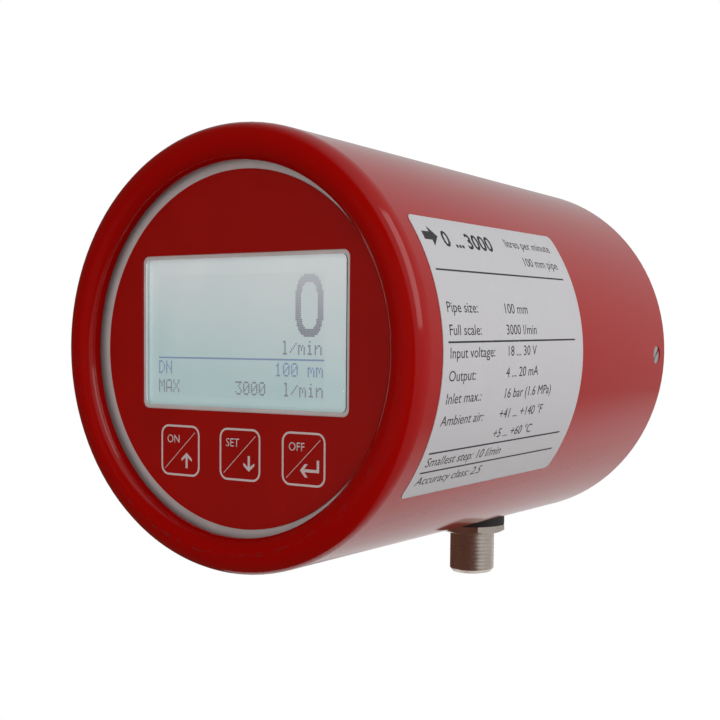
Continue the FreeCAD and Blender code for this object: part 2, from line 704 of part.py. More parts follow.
def supply_lead():
    """Lead from the plug up into the tube and forward to its terminals."""
    end = number(TERMINAL_BACK + " + terminal_grip")
    plug = number("plug_ahead")
    height = number("-supply_drop")
    points = [
        FreeCAD.Vector(0, -plug, number("-shank_top_drop")),
        FreeCAD.Vector(0, -plug, height),
        FreeCAD.Vector(0, -end, height),
    ]
    return lead("supply_lead", points, number("supply_lead_radius"), number("supply_bend"))


def sensor_lead():
    """Lead from the pressure cell forward and up to its terminals."""
    start = number("rear_thick + cell_long + neck_long")
    rise_start = start + number("sensor_lead_run")
    rise_end = rise_start + number("sensor_lead_slope")
    low, high = number("sensor_lead_rise"), number("sensor_rise")
    points = [
        FreeCAD.Vector(0, -start, low),
        FreeCAD.Vector(0, -rise_start, low),
        FreeCAD.Vector(0, -rise_end, high),
        FreeCAD.Vector(0, -number(TERMINAL_BACK + " + terminal_grip"), high),
    ]
    return lead("sensor_lead", points, number("sensor_lead_radius"), number("sensor_bend"))


def sensor_cell():
    """Differential-pressure cell: a block with two inlets behind and a round housing in front."""
    piece = body("sensor_cell")
    block = cross_section(piece, "rear_thick")
    rounded_rectangle(block, "0", "0", "cell_wide", "cell_high", "cell_corner")
    for across, along in CELL_SCREW_PLACES:
        circle(block, across, along, "cell_screw_radius + slip")
    pad(piece, block, "cell_long")
    neck = cross_section(piece, "rear_thick + cell_long")
    circle(neck, "0", "0", "neck_radius")
    housing = pad(piece, neck, "neck_long")
    front = -number("rear_thick + cell_long + neck_long")
    at_front = lambda edge: abs(edge.BoundBox.YMax - front) < TOUCH
    dress(piece, "Fillet", "Radius", "neck_round", housing, at_front)
    inlets = cross_section(piece, "rear_thick")
    for place in PORT_PLACES:
        circle(inlets, place, "0", "channel_radius")
    pocket(piece, inlets, "inlet_deep", along_normal=True)
    return piece


def cell_seals():
    """A seal round each inlet, let into the rear plate."""
    piece = body("cell_seals")
    rings = cross_section(piece, "rear_thick - inlet_seal_tall")
    for place in PORT_PLACES:
        circle(rings, place, "0", "inlet_seal_radius")
        circle(rings, place, "0", "inlet_seal_hole")
    pad(piece, rings, "inlet_seal_tall")
    return piece


def cell_screws():
    """Socket-head screws that clamp the cell to the rear plate."""
    piece = body("cell_screws")
    shanks = cross_section(piece, "rear_thick - cell_screw_reach")
    heads = cross_section(piece, "rear_thick + cell_long")
    sockets = cross_section(piece, "rear_thick + cell_long + cap_tall")
    for across, along in CELL_SCREW_PLACES:
        circle(shanks, across, along, "cell_screw_radius")
        circle(heads, across, along, "cap_radius")
        hexagon(sockets, across, along, "socket_flats")
    pad(piece, shanks, "cell_screw_reach + cell_long")
    pad(piece, heads, "cap_tall")
    pocket(piece, sockets, "socket_deep")
    return piece


def rear_plate():
    """Plate that closes the tube: two pipe-thread ports, passages to the cell, a seal groove and tapped
    holes."""
    piece = body("rear_plate")
    rim = "(bore_radius - slip)"
    seal_back = "-rear_seal_ahead"
    profile = sketch(piece, "XY_Plane")
    outline(profile, [
        ("0", "-rear_thick"),
        (rim + " - edge_break", "-rear_thick"),
        (rim, "-rear_thick + edge_break"),
        (rim, seal_back + " - seal_wide"),
        ("seal_floor_radius", seal_back + " - seal_wide"),
        ("seal_floor_radius", seal_back),
        (rim, seal_back),
        (rim, "-edge_break"),
        (rim + " - edge_break", "0"),
        ("0", "0"),
    ])
    turned(piece, profile)
    ports = cross_section(piece, "0")
    passages = cross_section(piece, "port_deep")
    seats = cross_section(piece, "rear_thick")
    for place in PORT_PLACES:
        circle(ports, place, "0", "port_radius")
        circle(passages, place, "0", "channel_radius")
        circle(seats, place, "0", "inlet_seal_radius + thread_gap")
    bored = pocket(piece, ports, "port_deep", along_normal=True)
    mouth = number("port_radius")

    def at_mouth(edge):
        ring = edge.Curve
        if not isinstance(ring, Part.Circle):
            return False
        return abs(ring.Radius - mouth) < TOUCH and abs(ring.Center.y) < TOUCH

    dress(piece, "Chamfer", "Size", "port_chamfer", bored, at_mouth)
    pocket(piece, passages, "rear_thick - port_deep", along_normal=True)
    pocket(piece, seats, "inlet_seal_tall")
    tapped = cross_section(piece, "rear_thick")
    for across, along in CELL_SCREW_PLACES:
        circle(tapped, across, along, "cell_screw_radius + thread_gap")
    pocket(piece, tapped, "cell_screw_reach + slip")
    side_hole = screw_section(piece)
    outline(side_hole, [
        ("screw_hole_radius", "0"),
        ("bore_radius + edge_break", "0"),
        ("bore_radius + edge_break", "screw_radius + thread_gap"),
        ("screw_hole_radius", "screw_radius + thread_gap"),
    ])
    repeat_round_axis(piece, [groove(piece, side_hole, "H_Axis")])
    return piece


def side_screws():
    """Slotted countersunk screws through the tube into the rear plate."""
    piece = body("side_screws")
    head_top = "(tube_radius - screw_sink)"
    profile = screw_section(piece)
    outline(profile, [
        ("screw_tip_radius", "0"),
        (head_top, "0"),
        (head_top, "screw_head_radius"),
        (head_top + " - screw_head_radius + screw_radius", "screw_radius"),
        ("screw_tip_radius", "screw_radius"),
    ])
    screw = turned(piece, profile, "H_Axis")
    slot = sketch(piece, "YZ_Plane")
    turn = FreeCAD.Rotation(FreeCAD.Vector(1, 0, 0), number("screw_angle"))
    slot.AttachmentOffset = FreeCAD.Placement(FreeCAD.Vector(), turn)
    slot.setExpression("AttachmentOffset.Rotation.Angle", cell("screw_angle"))
    slot.setExpression("AttachmentOffset.Base.x", cell("-screw_ahead"))
    slot.setExpression("AttachmentOffset.Base.y", cell("-%s * sin(screw_angle)" % head_top))
    slot.setExpression("AttachmentOffset.Base.z", cell("%s * cos(screw_angle)" % head_top))
    half_long, half_wide = "2 * screw_head_radius", "slot_wide / 2"
    corners = []
    for along_sign, across_sign in (("-", "-"), ("", "-"), ("", ""), ("-", "")):
        along = "(%s %s)" % (along_sign, half_long)
        across = "(%s %s)" % (across_sign, half_wide)
        corners.append((
            "%s * cos(slot_turn) - %s * sin(slot_turn)" % (along, across),
            "%s * sin(slot_turn) + %s * cos(slot_turn)" % (along, across),
        ))
    outline(slot, corners)
    repeat_round_axis(piece, [screw, pocket(piece, slot, "slot_deep")])
    return piece


def plug_piece(label):
    """A piece of the plug, drawn round its own axis and moved to its place on the tube."""
    piece = body(label)
    piece.setExpression("Placement.Base.y", cell("-plug_ahead"))
    return piece


def connector_shell():
    """Plug body: threaded shank in the tube, hexagon, and the barrel of the screw lock with its socket."""
    piece = plug_piece("connector_shell")
    profile = sketch(piece, "XZ_Plane")
    outline(profile, [
        ("socket_radius", "-" + BARREL_END),
        ("barrel_end_radius", "-" + BARREL_END),
        ("barrel_radius", "-%s + barrel_chamfer" % BARREL_END),
        ("barrel_radius", "-" + HEXAGON_TOP),
        ("shank_radius", "-" + HEXAGON_TOP),
        ("shank_radius", "-shank_top_drop"),
        ("socket_radius", "-shank_top_drop"),
    ])
    turned(piece, profile)
    collar = sketch(piece, "XY_Plane", "-" + HEXAGON_FOOT)
    hexagon(collar, "0", "0", "hexagon_flats", "-hexagon_turn")
    circle(collar, "0", "0", "barrel_end_radius")
    pad(piece, collar, "hexagon_thick")
    chamfer = sketch(piece, "XZ_Plane")
    corner_reach = "(hexagon_flats / 2 / cos(30) + slip)"
    outline(chamfer, [
        ("hexagon_flats / 2", "-" + HEXAGON_FOOT),
        (corner_reach, "-" + HEXAGON_FOOT),
        (corner_reach, "-%s + (%s - hexagon_flats / 2) * tan(30)" % (HEXAGON_FOOT, corner_reach)),
    ])
    groove(piece, chamfer)
    return piece


def connector_insert():
    """Insulating body of the plug, with a hole for each pin and a coding rib."""
    piece = plug_piece("connector_insert")
    section = sketch(piece, "XY_Plane", "-insert_drop")
    circle(section, "0", "0", "socket_radius - thread_gap")
    for angle in QUARTER_TURNS:
        circle(section, "pin_circle * cos(%d)" % angle, "pin_circle * sin(%d)" % angle, "pin_radius")
    pad(piece, section, "insert_drop - shank_top_drop")
    rib = sketch(piece, "XY_Plane", "-insert_drop - rib_long")
    rectangle(rib, "0", "socket_radius - 2 * thread_gap - rib_deep", "rib_wide", "rib_deep")
    pad(piece, rib, "rib_long")
    return piece


def connector_pins():
    """Contact pins of the plug."""
    piece = plug_piece("connector_pins")
    section = sketch(piece, "XY_Plane", "-pin_end_drop")
    for angle in QUARTER_TURNS:
        circle(section, "pin_circle * cos(%d)" % angle, "pin_circle * sin(%d)" % angle, "pin_radius")
    pad(piece, section, "pin_end_drop - pin_top_drop")
    return piece


def connector_gasket():
    """Seal between the plug's hexagon and the milled seat."""
    piece = plug_piece("connector_gasket")
    section = sketch(piece, "XY_Plane", "-" + HEXAGON_TOP)
    circle(section, "0", "0", "gasket_radius")
    circle(section, "0", "0", "shank_radius + thread_gap")
    pad(piece, section, "gasket_thick")
    return piece


def type_label():
    """Adhesive label on the right side of the tube."""
    piece = body("type_label")
    inner, outer = "tube_radius", "(tube_radius + label_thick)"
    section = cross_section(piece, "tube_length - label_front_depth - label_long")
    outline(section, [
        ("%s * cos(label_low_angle)" % outer, "%s * sin(label_low_angle)" % outer, outer, "left"),
        ("%s * cos(label_top_angle)" % outer, "%s * sin(label_top_angle)" % outer),
        ("%s * cos(label_top_angle)" % inner, "%s * sin(label_top_angle)" % inner, inner, "right"),
        ("%s * cos(label_low_angle)" % inner, "%s * sin(label_low_angle)" % inner),
    ])
    sheet = pad(piece, section, "label_long")
    thick = number("label_thick")
    across_film = lambda edge: abs(edge.Length - thick) < TOUCH
    dress(piece, "Fillet", "Radius", "label_corner", sheet, across_film)
    return piece


def build():
    """Every piece of the head, from the front to the back."""
    pieces = [housing_tube(), face_plate(), front_seal(), retaining_ring(), keypad_foil()]
    pieces.append(display_layer("display_window", PANE_FRONT, "pane_thick"))
    pieces.append(display_layer("lcd_glass", GLASS_FRONT, "glass_thick"))
    pieces.append(display_layer("lcd_backlight", LIGHT_FRONT, "light_thick"))
    pieces.append(lcd_frame())
    pieces += [key_cap(label, place) for label, place in KEY_PLACES.items()]
    pieces += [key_switches(), board("display_board", DISPLAY_BOARD_FRONT)]
    pieces.append(hexagon_pillars("front_pillars", DISPLAY_BOARD_FRONT, PLATE_BACK, "stud_length"))
    through_board = "board_thick + stud_reach"
    pieces.append(hexagon_pillars("board_spacers", MAIN_BOARD_FRONT, DISPLAY_BOARD_BACK, through_board))
    pieces += [board_screws(), board("main_board", MAIN_BOARD_FRONT), board_link(), terminal_blocks()]
    pieces += [supply_lead(), sensor_lead(), sensor_cell(), cell_seals(), cell_screws()]
    pieces += [rear_plate(), rear_seal(), side_screws()]
    pieces += [connector_shell(), connector_insert(), connector_pins(), connector_gasket(), type_label()]
    return pieces


def write(pieces):
    """Checks every object and writes one file for each piece."""
    DOC.recompute()
    for item in DOC.Objects:
        if "Invalid" in item.State or "Error" in item.State:
            raise RuntimeError("%s failed" % item.Label)
    for piece in pieces:
        if piece.Shape.isNull() or not piece.Shape.isValid() or not piece.Shape.Solids:
            raise RuntimeError("%s has no sound solid" % piece.Label)
    os.makedirs("parts", exist_ok=True)
    for piece in pieces:
        piece.Shape.exportStep("parts/%s.step" % piece.Label)
        print("%-18s %2d solid(s) %10.2f mm3" % (piece.Label, len(piece.Shape.Solids), piece.Shape.Volume))


write(build())
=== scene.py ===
"""Looks of a flow meter's display head: its finishes, key print, display, label and threads.

A plain studio stands round it, with the camera at the photograph's angle.
"""

import math

import bmesh
import bpy
from mathutils import Matrix, Vector


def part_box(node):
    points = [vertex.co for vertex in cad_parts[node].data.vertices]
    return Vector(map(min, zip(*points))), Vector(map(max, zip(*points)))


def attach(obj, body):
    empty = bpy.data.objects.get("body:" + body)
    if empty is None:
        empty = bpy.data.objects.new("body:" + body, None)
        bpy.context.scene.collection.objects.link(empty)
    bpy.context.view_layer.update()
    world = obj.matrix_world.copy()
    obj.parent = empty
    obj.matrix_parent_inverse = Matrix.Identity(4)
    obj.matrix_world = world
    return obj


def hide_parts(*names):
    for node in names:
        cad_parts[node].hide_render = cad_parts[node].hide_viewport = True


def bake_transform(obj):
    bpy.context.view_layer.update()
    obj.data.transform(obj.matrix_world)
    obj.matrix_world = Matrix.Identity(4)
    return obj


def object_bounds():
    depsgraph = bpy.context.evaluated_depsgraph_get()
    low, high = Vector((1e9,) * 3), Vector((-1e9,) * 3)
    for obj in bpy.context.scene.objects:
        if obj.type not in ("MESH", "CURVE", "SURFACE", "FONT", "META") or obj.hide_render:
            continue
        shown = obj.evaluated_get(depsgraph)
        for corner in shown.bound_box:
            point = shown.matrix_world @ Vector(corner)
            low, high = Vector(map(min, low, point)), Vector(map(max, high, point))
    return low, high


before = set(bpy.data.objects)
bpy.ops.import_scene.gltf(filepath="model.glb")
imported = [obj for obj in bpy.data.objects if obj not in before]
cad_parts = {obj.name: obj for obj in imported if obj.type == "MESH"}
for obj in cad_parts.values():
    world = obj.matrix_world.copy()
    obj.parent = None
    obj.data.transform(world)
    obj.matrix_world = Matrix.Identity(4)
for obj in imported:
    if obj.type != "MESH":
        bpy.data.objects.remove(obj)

bl_info = {
    "name": "Flow meter head",
    "version": (1, 0, 0),
    "blender": (4, 5, 0),
    "location": "View3D > Sidebar > Flow meter",
    "description": "Finishes, key print, display, label, threads and studio of a flow meter's display head",
    "category": "Object",
}

MM = 0.001
CAD_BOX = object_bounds()
HEAD = "head"
KEYS = ("on_key", "set_key", "off_key")
WHITE = (1.0, 1.0, 1.0)

# Facets round a thread, and rows of them in one turn of it
THREAD_SEGMENTS = 96
THREAD_ROWS = 12

# Places that the frame gives: the tube, the face, the display, the label, the plug and the rear plate
TUBE_LOW, TUBE_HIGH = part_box("housing_tube")
FOIL_LOW, FOIL_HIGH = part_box("keypad_foil")
PANE_LOW, PANE_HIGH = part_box("display_window")
LABEL_LOW, LABEL_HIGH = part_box("type_label")
SHELL_LOW, SHELL_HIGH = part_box("connector_shell")
GASKET_LOW, GASKET_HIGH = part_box("connector_gasket")
PLATE_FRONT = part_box("face_plate")[0].y
CELL_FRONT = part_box("lcd_glass")[0].y
REAR_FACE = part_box("rear_plate")[1].y
LABEL_RADIUS = LABEL_HIGH.x
LABEL_ENDS = [math.asin(corner.z / LABEL_RADIUS) for corner in (LABEL_LOW, LABEL_HIGH)]
LABEL_TURN = sum(LABEL_ENDS) / 2


def middle(low, high):
    """Centre of a box."""
    return (low + high) / 2


def on_face(point):
    """A point's place across and up, as the face is seen."""
    return Vector((point.x, point.z))


def direction(turn, lift):
    """Way from the part, by a turn to the right of the face's axis and a height angle."""
    return Vector((math.sin(turn) * math.cos(lift), -math.cos(turn) * math.cos(lift), math.sin(lift)))


def linear(code):
    """Linear colour of an sRGB hex code."""
    parts = [int(code[place:place + 2], 16) / 255 for place in (0, 2, 4)]
    return tuple(part / 12.92 if part <= 0.04045 else ((part + 0.055) / 1.055) ** 2.4 for part in parts)


def colour(name, description, code):
    """Colour property, given as an sRGB hex code."""
    return bpy.props.FloatVectorProperty(
        name=name, description=description, default=linear(code), subtype="COLOR", min=0.0, max=1.0)


def length(name, description, default):
    """Length property, in metres."""
    return bpy.props.FloatProperty(
        name=name, description=description, default=default, min=0.0, unit="LENGTH", precision=6)


def place(name, description, default):
    """Coordinate property, in metres, which may be negative."""
    return bpy.props.FloatProperty(
        name=name, description=description, default=default, unit="LENGTH", precision=6)


def span(name, description, low, high):
    """Pair of coordinates, in metres."""
    return bpy.props.FloatVectorProperty(
        name=name, description=description, default=(low, high), size=2, unit="LENGTH")


def power(name, description, watts):
    """Power property, in watts."""
    return bpy.props.FloatProperty(name=name, description=description, default=watts, min=0.0, unit="POWER")


def share(name, description, default):
    """Property between nothing and one."""
    return bpy.props.FloatProperty(
        name=name, description=description, default=default, min=0.0, max=1.0, subtype="FACTOR")


def angle(name, description, degrees):
    """Angle property, given in degrees."""
    return bpy.props.FloatProperty(
        name=name, description=description, default=math.radians(degrees), subtype="ANGLE")


def count(name, description, default):
    """Whole number property."""
    return bpy.props.IntProperty(name=name, description=description, default=default, min=1)


class HousingLook(bpy.types.PropertyGroup):
    """Paint of the tube and the bare metal of its screws and rear plate"""
    paint: colour("Paint", "Colour of the powder coat", "A00200")
    scuff: colour("Scuff", "Colour of the rubbed marks on the lip", "553034")
    peel: length("Orange peel", "Width of the ripples in the coat", 2.5 * MM)
    peel_height: length("Peel height", "Height of the ripples in the coat", 0.006 * MM)
    crest_radius: length("Crest radius", "Radius of the lip's foremost line", 40.6 * MM)
    scuff_width: length("Scuff width", "Half width of the band of rubbed marks along the crest", 0.4 * MM)
    scuff_length: length("Scuff length", "Length of a rubbed mark", 3.0 * MM)
    aluminium: colour("Aluminium", "Colour of the turned rear plate", "CBCCCE")
    zinc: colour("Zinc", "Colour of the plated screws", "E2E0DD")
    turning: length("Turning marks", "Spacing of the marks that turning leaves on the rear plate", 1.1 * MM)


class PortLook(bpy.types.PropertyGroup):
    """Pipe thread of the two ports in the rear plate"""
    spread: length("Spread", "Distance of each port from the axis", 18.0 * MM)
    core: length("Core radius", "Radius of the thread's crests", 5.72 * MM)
    depth: length("Thread depth", "Height of the thread's flanks", 0.8 * MM)
    pitch: length("Pitch", "Advance of the thread in one turn", 1.337 * MM)
    mouth: length("Mouth radius", "Radius of the chamfer at the rear face", 6.62 * MM)
    chamfer: length("Chamfer", "Depth of the chamfer", 0.9 * MM)
    floor: length("Depth", "Depth of the port", 11.0 * MM)


class KeypadLook(bpy.types.PropertyGroup):
    """Film over the face plate, with its keys"""
    film: colour("Film", "Colour of the keypad film", "A10903")
    ink: colour("Ink", "Colour of the key print", "D8CFCE")
    # The grey's slight warm cast is painted red bounce light from the lip
    plate: colour("Plate", "Colour of the face plate", "CFC9C8")
    ink_height: length("Ink height", "Thickness of the printed ink", 0.02 * MM)
    edge_round: length("Corner", "Corner radius of the cut-out round the display", 1.5 * MM)
    cut_wide: length("Cut-out width", "Width of the cut-out round the display", 53.0 * MM)
    cut_tall: length("Cut-out height", "Height of the cut-out round the display", 31.9 * MM)
    pad: length("Pad", "Side of the stiff middle of a key", 11.2 * MM)
    hinge: length("Hinge", "Width of the band round a pad in which the film flexes", 0.4 * MM)
    outline_wide: length("Outline width", "Width of the frame printed on a key", 10.52 * MM)
    outline_tall: length("Outline height", "Height of the frame printed on a key", 10.6 * MM)
    outline_corner: length("Outline corner", "Corner radius of the printed frame", 2.0 * MM)
    outline_stroke: length("Outline stroke", "Line width of the printed frame", 0.42 * MM)
    hairline: length("Hairline", "Line width of the diagonal", 0.12 * MM)
    word_tall: length("Word height", "Capital height of the key words", 1.65 * MM)
    word_left: place("Word place", "Left end of the key words, from the key's middle", -3.68 * MM)
    word_base: place("Word base", "Base line of the key words, from the key's middle", 1.55 * MM)


class DisplayLook(bpy.types.PropertyGroup):
    """Dot display behind its pane"""
    field: colour("Field", "Colour of the lit cell at its lower end", "A6B7B8")
    # Paler cell at the upper end: partly the backlight's edge lamps, partly a painted reflection
    edge_lamp_and_painted_sheen: colour("Edge light", "Colour of the cell near the lamps at its upper end", "C6C7C8")
    dot: colour("Dot", "Colour of a dark dot", "7A7885")
    blue_dot: colour("Blue dot", "Colour of the dots beside the rule, which look bluer", "7583A0")
    glow: share("Glow", "Share of the cell's brightness that comes from its light", 0.55)
    columns: count("Columns", "Dots across", 128)
    rows: count("Rows", "Dots down", 64)
    pitch_across: length("Pitch across", "Spacing of the dots across", 0.3344 * MM)
    pitch_down: length("Pitch down", "Spacing of the dots down", 0.393 * MM)
    gap: length("Gap", "Space between two dots", 0.04 * MM)
    left: place("Left", "Left end of the dot field", -22.83 * MM)
    top: place("Top", "Upper end of the dot field", 15.38 * MM)
    pane_gap: length("Air gap", "Air between the pane and the cell, where the dots show", 0.1 * MM)
    pane_rise: length("Pane rise", "Height of the pane's front over the face plate", 0.35 * MM)
    pane_lap: length("Pane lap", "Width of the pane's rim, hidden behind the plate", 1.25 * MM)
    pane_bevel: length("Pane bevel", "Width of the bevel round the pane's front", 0.12 * MM)
    pane_corner: length("Pane corner", "Corner radius of the pane", 1.15 * MM)
    unit: bpy.props.StringProperty(name="Unit", description="Unit under the figure", default="l/min")


class LabelLook(bpy.types.PropertyGroup):
    """Rating label on the tube"""
    film: colour("Film", "Colour of the label film", "C0C0C3")
    ink: colour("Ink", "Colour of the label print", "28282C")
    ink_height: length("Ink height", "Thickness of the printed ink", 0.01 * MM)
    tilt: angle("Tilt", "How far the label was stuck on askew", 1.1)
    corner: length("Corner", "Corner radius of the label", 1.5 * MM)
    wide: length("Width", "Width of the label", 64.2 * MM)
    tall: length("Height", "Height of the label, round the tube", 57.4 * MM)
    rise: place("Rise", "Height of the sheet's middle above the middle of its place", 0.2 * MM)
    letter_wide: bpy.props.FloatProperty(
        name="Letter width", description="Width of the letters against a plain face", default=1.15)
    word_tall: length("Word height", "Capital height of the lines", 2.0 * MM)
    title_tall: length("Title height", "Capital height of the range on top", 3.3 * MM)
    title_left: length("Title place", "Distance of the range from the label's edge", 9.2 * MM)
    title_base: place("Title base", "Height of the range above the label's middle", 22.5 * MM)
    note_end: length("Note end", "Distance of the notes' right end from the label's edge", 59.2 * MM)
    notes_base: place("Notes base", "Height of the upper note above the label's middle", 24.05 * MM)
    first_line: place("First line", "Height of the first line above the label's middle", 9.05 * MM)
    line_pitch: length("Line pitch", "Distance from line to line", 4.32 * MM)
    left: length("Left column", "Distance of the first column from the label's edge", 2.35 * MM)
    right: length("Right column", "Distance of the second column from the label's edge", 25.8 * MM)
    rule_start: length("Rule start", "Distance of the rules from the label's edge", 1.85 * MM)
    rule_end: length("Rule end", "Distance of the rules' far ends from the label's edge", 59.8 * MM)
    rule_stroke: length("Rule stroke", "Line width of the rules", 0.36 * MM)
    rule_drop: length("Rule drop", "Distance of a rule below its line", 1.3 * MM)
    title_rule: place("Title rule", "Height of the first rule above the label's middle", 17.3 * MM)


class PlugLook(bpy.types.PropertyGroup):
    """Screw-lock plug under the tube"""
    nickel: colour("Nickel", "Colour of the plated body", "EFE7DD")
    shank: length("Shank radius", "Radius of the part in the tube's wall", 6.2 * MM)
    flats: length("Across flats", "Width of the hexagon", 16.0 * MM)
    hexagon: length("Hexagon", "Thickness of the hexagon", 2.0 * MM)
    turn: angle("Turn", "Direction of one corner of the hexagon", -52.4)
    barrel: length("Barrel radius", "Radius of the thread's crests", 6.0 * MM)
    depth: length("Thread depth", "Height of the thread's flanks", 0.025 * MM)
    pitch: length("Pitch", "Advance of the thread in one turn", 1.0 * MM)
    tip: length("Tip radius", "Radius of the barrel's end", 5.15 * MM)
    chamfer: length("Chamfer", "Length of the barrel's end chamfer", 1.0 * MM)
    socket: length("Socket radius", "Radius of the bore", 4.6 * MM)
    neck: length("Neck", "Length of the plain neck under the hexagon", 0.7 * MM)


class StageLook(bpy.types.PropertyGroup):
    """Studio: floor, light and camera"""
    floor: colour("Floor", "Colour of the floor", "EFEFEF")
    floor_drop: length("Floor depth", "Depth of the floor under the tube's axis", 200.0 * MM)
    floor_ends: span("Floor's ends", "Front and back end of the floor", -0.05, 1.0)
    floor_front: span("Floor's front", "Left and right end of its front edge", -0.15, 0.20)
    floor_back: span("Floor's back", "Left and right end of its back edge", -0.45, 0.42)
    floor_fade: length("Floor's fade", "Width over which the floor ends on the right", 200.0 * MM)
    floor_glow: share("Floor glow", "Light of the floor itself, where it is seen", 0.65)
    floor_mirrored: share("Floor in gloss", "Share of that light which glossy surfaces show", 0.27)
    room: colour("Room", "Colour of the dim room before the part", "553930")
    wall: colour("Wall", "Colour of the pale walls on the right, behind and above", "C8C8C8")
    wall_turn: angle("Wall turn", "Direction of the middle of the pale walls", 145.0)
    wall_lift: angle("Wall lift", "Height angle of the middle of the pale walls", 20.0)
    wall_reach: angle("Wall reach", "Angle from the middle of the pale walls to their ends", 90.0)
    dusk_turn: angle("Dusk turn", "Direction away from which the walls grow dim", 128.0)
    key_watts: power("Key", "Power of the key strip light", 1.9)
    side_watts: power("Side", "Power of the side fill", 5.4)
    fill_watts: power("Fill", "Power of the front fill", 6.0)
    left_watts: power("Left", "Power of the left fill", 2.0)
    lens: bpy.props.FloatProperty(name="Lens", description="Focal length on a 36 mm sensor", default=59.819,
                                  unit="CAMERA")
    shift: bpy.props.FloatVectorProperty(
        name="Shift", description="Shift of the lens across and up, as a share of the picture",
        default=(-0.0691, 0.0740), size=2)
    azimuth: angle("Azimuth", "Camera's turn to the right of the face's axis", 31.415)
    elevation: angle("Elevation", "Camera's height angle", 3.247)
    roll: angle("Roll", "Camera's roll", 0.626)
    camera: bpy.props.FloatVectorProperty(
        name="Camera", description="Place of the camera", default=(154.42 * MM, -310.47 * MM, 1.37 * MM),
        subtype="XYZ", unit="LENGTH")


LOOKS = {
    "meter_housing": HousingLook,
    "meter_ports": PortLook,
    "meter_keypad": KeypadLook,
    "meter_display": DisplayLook,
    "meter_label": LabelLook,
    "meter_plug": PlugLook,
    "meter_stage": StageLook,
}


# Drawings: flat shapes, across and up in a sheet, that become thin plates on the part


def arc(centre, radius, start, end, steps):
    """Points along an arc, in degrees, both ends included."""
    turns = [math.radians(start + (end - start) * step / steps) for step in range(steps + 1)]
    return [centre + radius * Vector((math.cos(turn), math.sin(turn))) for turn in turns]


def circle(radius, steps):
    """Points round a circle."""
    return arc(Vector((0.0, 0.0)), radius, 0.0, 360.0, steps)[:-1]


def rounded(centre, width, height, corner, steps=8):
    """Points round a rectangle with round corners."""
    points = []
    for quarter, (side, end) in enumerate(((1, 1), (-1, 1), (-1, -1), (1, -1))):
        middle_point = centre + Vector((side * (width / 2 - corner), end * (height / 2 - corner)))
        points += arc(middle_point, corner, 90.0 * quarter, 90.0 * quarter + 90.0, steps)
    return points


def fill(sheet, outline, *holes):
    """Fills an outline, less its holes, with flat faces."""
    edges = []
    for loop in (outline, *holes):
        corners = [sheet.verts.new((*point, 0.0)) for point in loop]
        edges += [sheet.edges.new((corners[index - 1], corner)) for index, corner in enumerate(corners)]
    bmesh.ops.triangle_fill(sheet, edges=edges, use_beauty=True)


def stroke(sheet, points, width, closed=False):
    """Draws a line of even width through points, with mitred corners."""
    points = [Vector(point) for point in points]
    last = len(points) - 1
    sides = []
    for index, point in enumerate(points):
        ways = []
        if index > 0 or closed:
            ways.append((point - points[index - 1]).normalized())
        if index < last or closed:
            ways.append((points[(index + 1) % len(points)] - point).normalized())
        along = sum(ways, Vector((0.0, 0.0))).normalized()
        reach = width / 2 / along.dot(ways[0])
        across = Vector((-along.y, along.x)) * reach
        sides.append([sheet.verts.new((*(point + across * sign), 0.0)) for sign in (1, -1)])
    for index in range(len(points) if closed else last):
        near, far = sides[index], sides[(index + 1) % len(points)]
        sheet.faces.new((near[0], near[1], far[1], far[0]))


def words(sheet, text, left, base, tall, narrow=1.0, weight=0.0, flush_right=False):
    """Sets a line of plain letters from its left end, or up to its right end, with this capital height."""
    capital = 0.682  # height of a capital in Blender's own letters of size one
    curve = bpy.data.curves.new("letters", "FONT")
    curve.body = text
    curve.resolution_u = 3
    curve.offset = weight
    carrier = bpy.data.objects.new("letters", curve)
    mesh = bpy.data.meshes.new_from_object(carrier)
    scale = tall / capital
    if flush_right:
        left -= max(vert.co.x for vert in mesh.vertices) * scale * narrow
    size = Matrix.Diagonal((scale * narrow, scale, scale, 1.0))
    mesh.transform(Matrix.Translation((left, base, 0.0)) @ size)
    sheet.from_mesh(mesh)
    bpy.data.objects.remove(carrier)
    bpy.data.curves.remove(curve)
    bpy.data.meshes.remove(mesh)


def thicken(sheet, height):
    """Gives a flat drawing its thickness, as closed plates."""
    made = bmesh.ops.extrude_face_region(sheet, geom=sheet.faces[:], use_keep_orig=True)
    for item in made["geom"]:
        if isinstance(item, bmesh.types.BMVert):
            item.co.z += height
    bmesh.ops.recalc_face_normals(sheet, faces=sheet.faces[:])


def lay_on_face(sheet, depth, shift=Vector((0.0, 0.0))):
    """Lays a drawing on a plane that looks to the front."""
    for vert in sheet.verts:
        across, up, out = vert.co
        vert.co = (across + shift.x, depth - out, up + shift.y)


def lay_on_label(sheet, tilt, lift=0.0):
    """Wraps a drawing round the tube: across starts at the label's front edge, up at its middle."""
    centre = middle(LABEL_LOW, LABEL_HIGH)
    half = (LABEL_HIGH.y - LABEL_LOW.y) / 2
    for vert in sheet.verts:
        across, up, out = vert.co
        along = (across - half) * math.cos(tilt) - up * math.sin(tilt)
        rise = (across - half) * math.sin(tilt) + up * math.cos(tilt)
        turn = LABEL_TURN + rise / LABEL_RADIUS
        reach = LABEL_RADIUS + out + lift
        vert.co = (reach * math.cos(turn), centre.y + along, reach * math.sin(turn))


def loft(shape, rings, closed=False):
    """Skins rings of equal count, each a list of points, in order."""
    rows = [[shape.verts.new(point) for point in ring] for ring in rings]
    pairs = list(zip(rows, rows[1:]))
    if closed:
        pairs.append((rows[-1], rows[0]))
    for near, far in pairs:
        for index in range(len(near)):
            shape.faces.new((near[index - 1], near[index], far[index], far[index - 1]))
    return rows


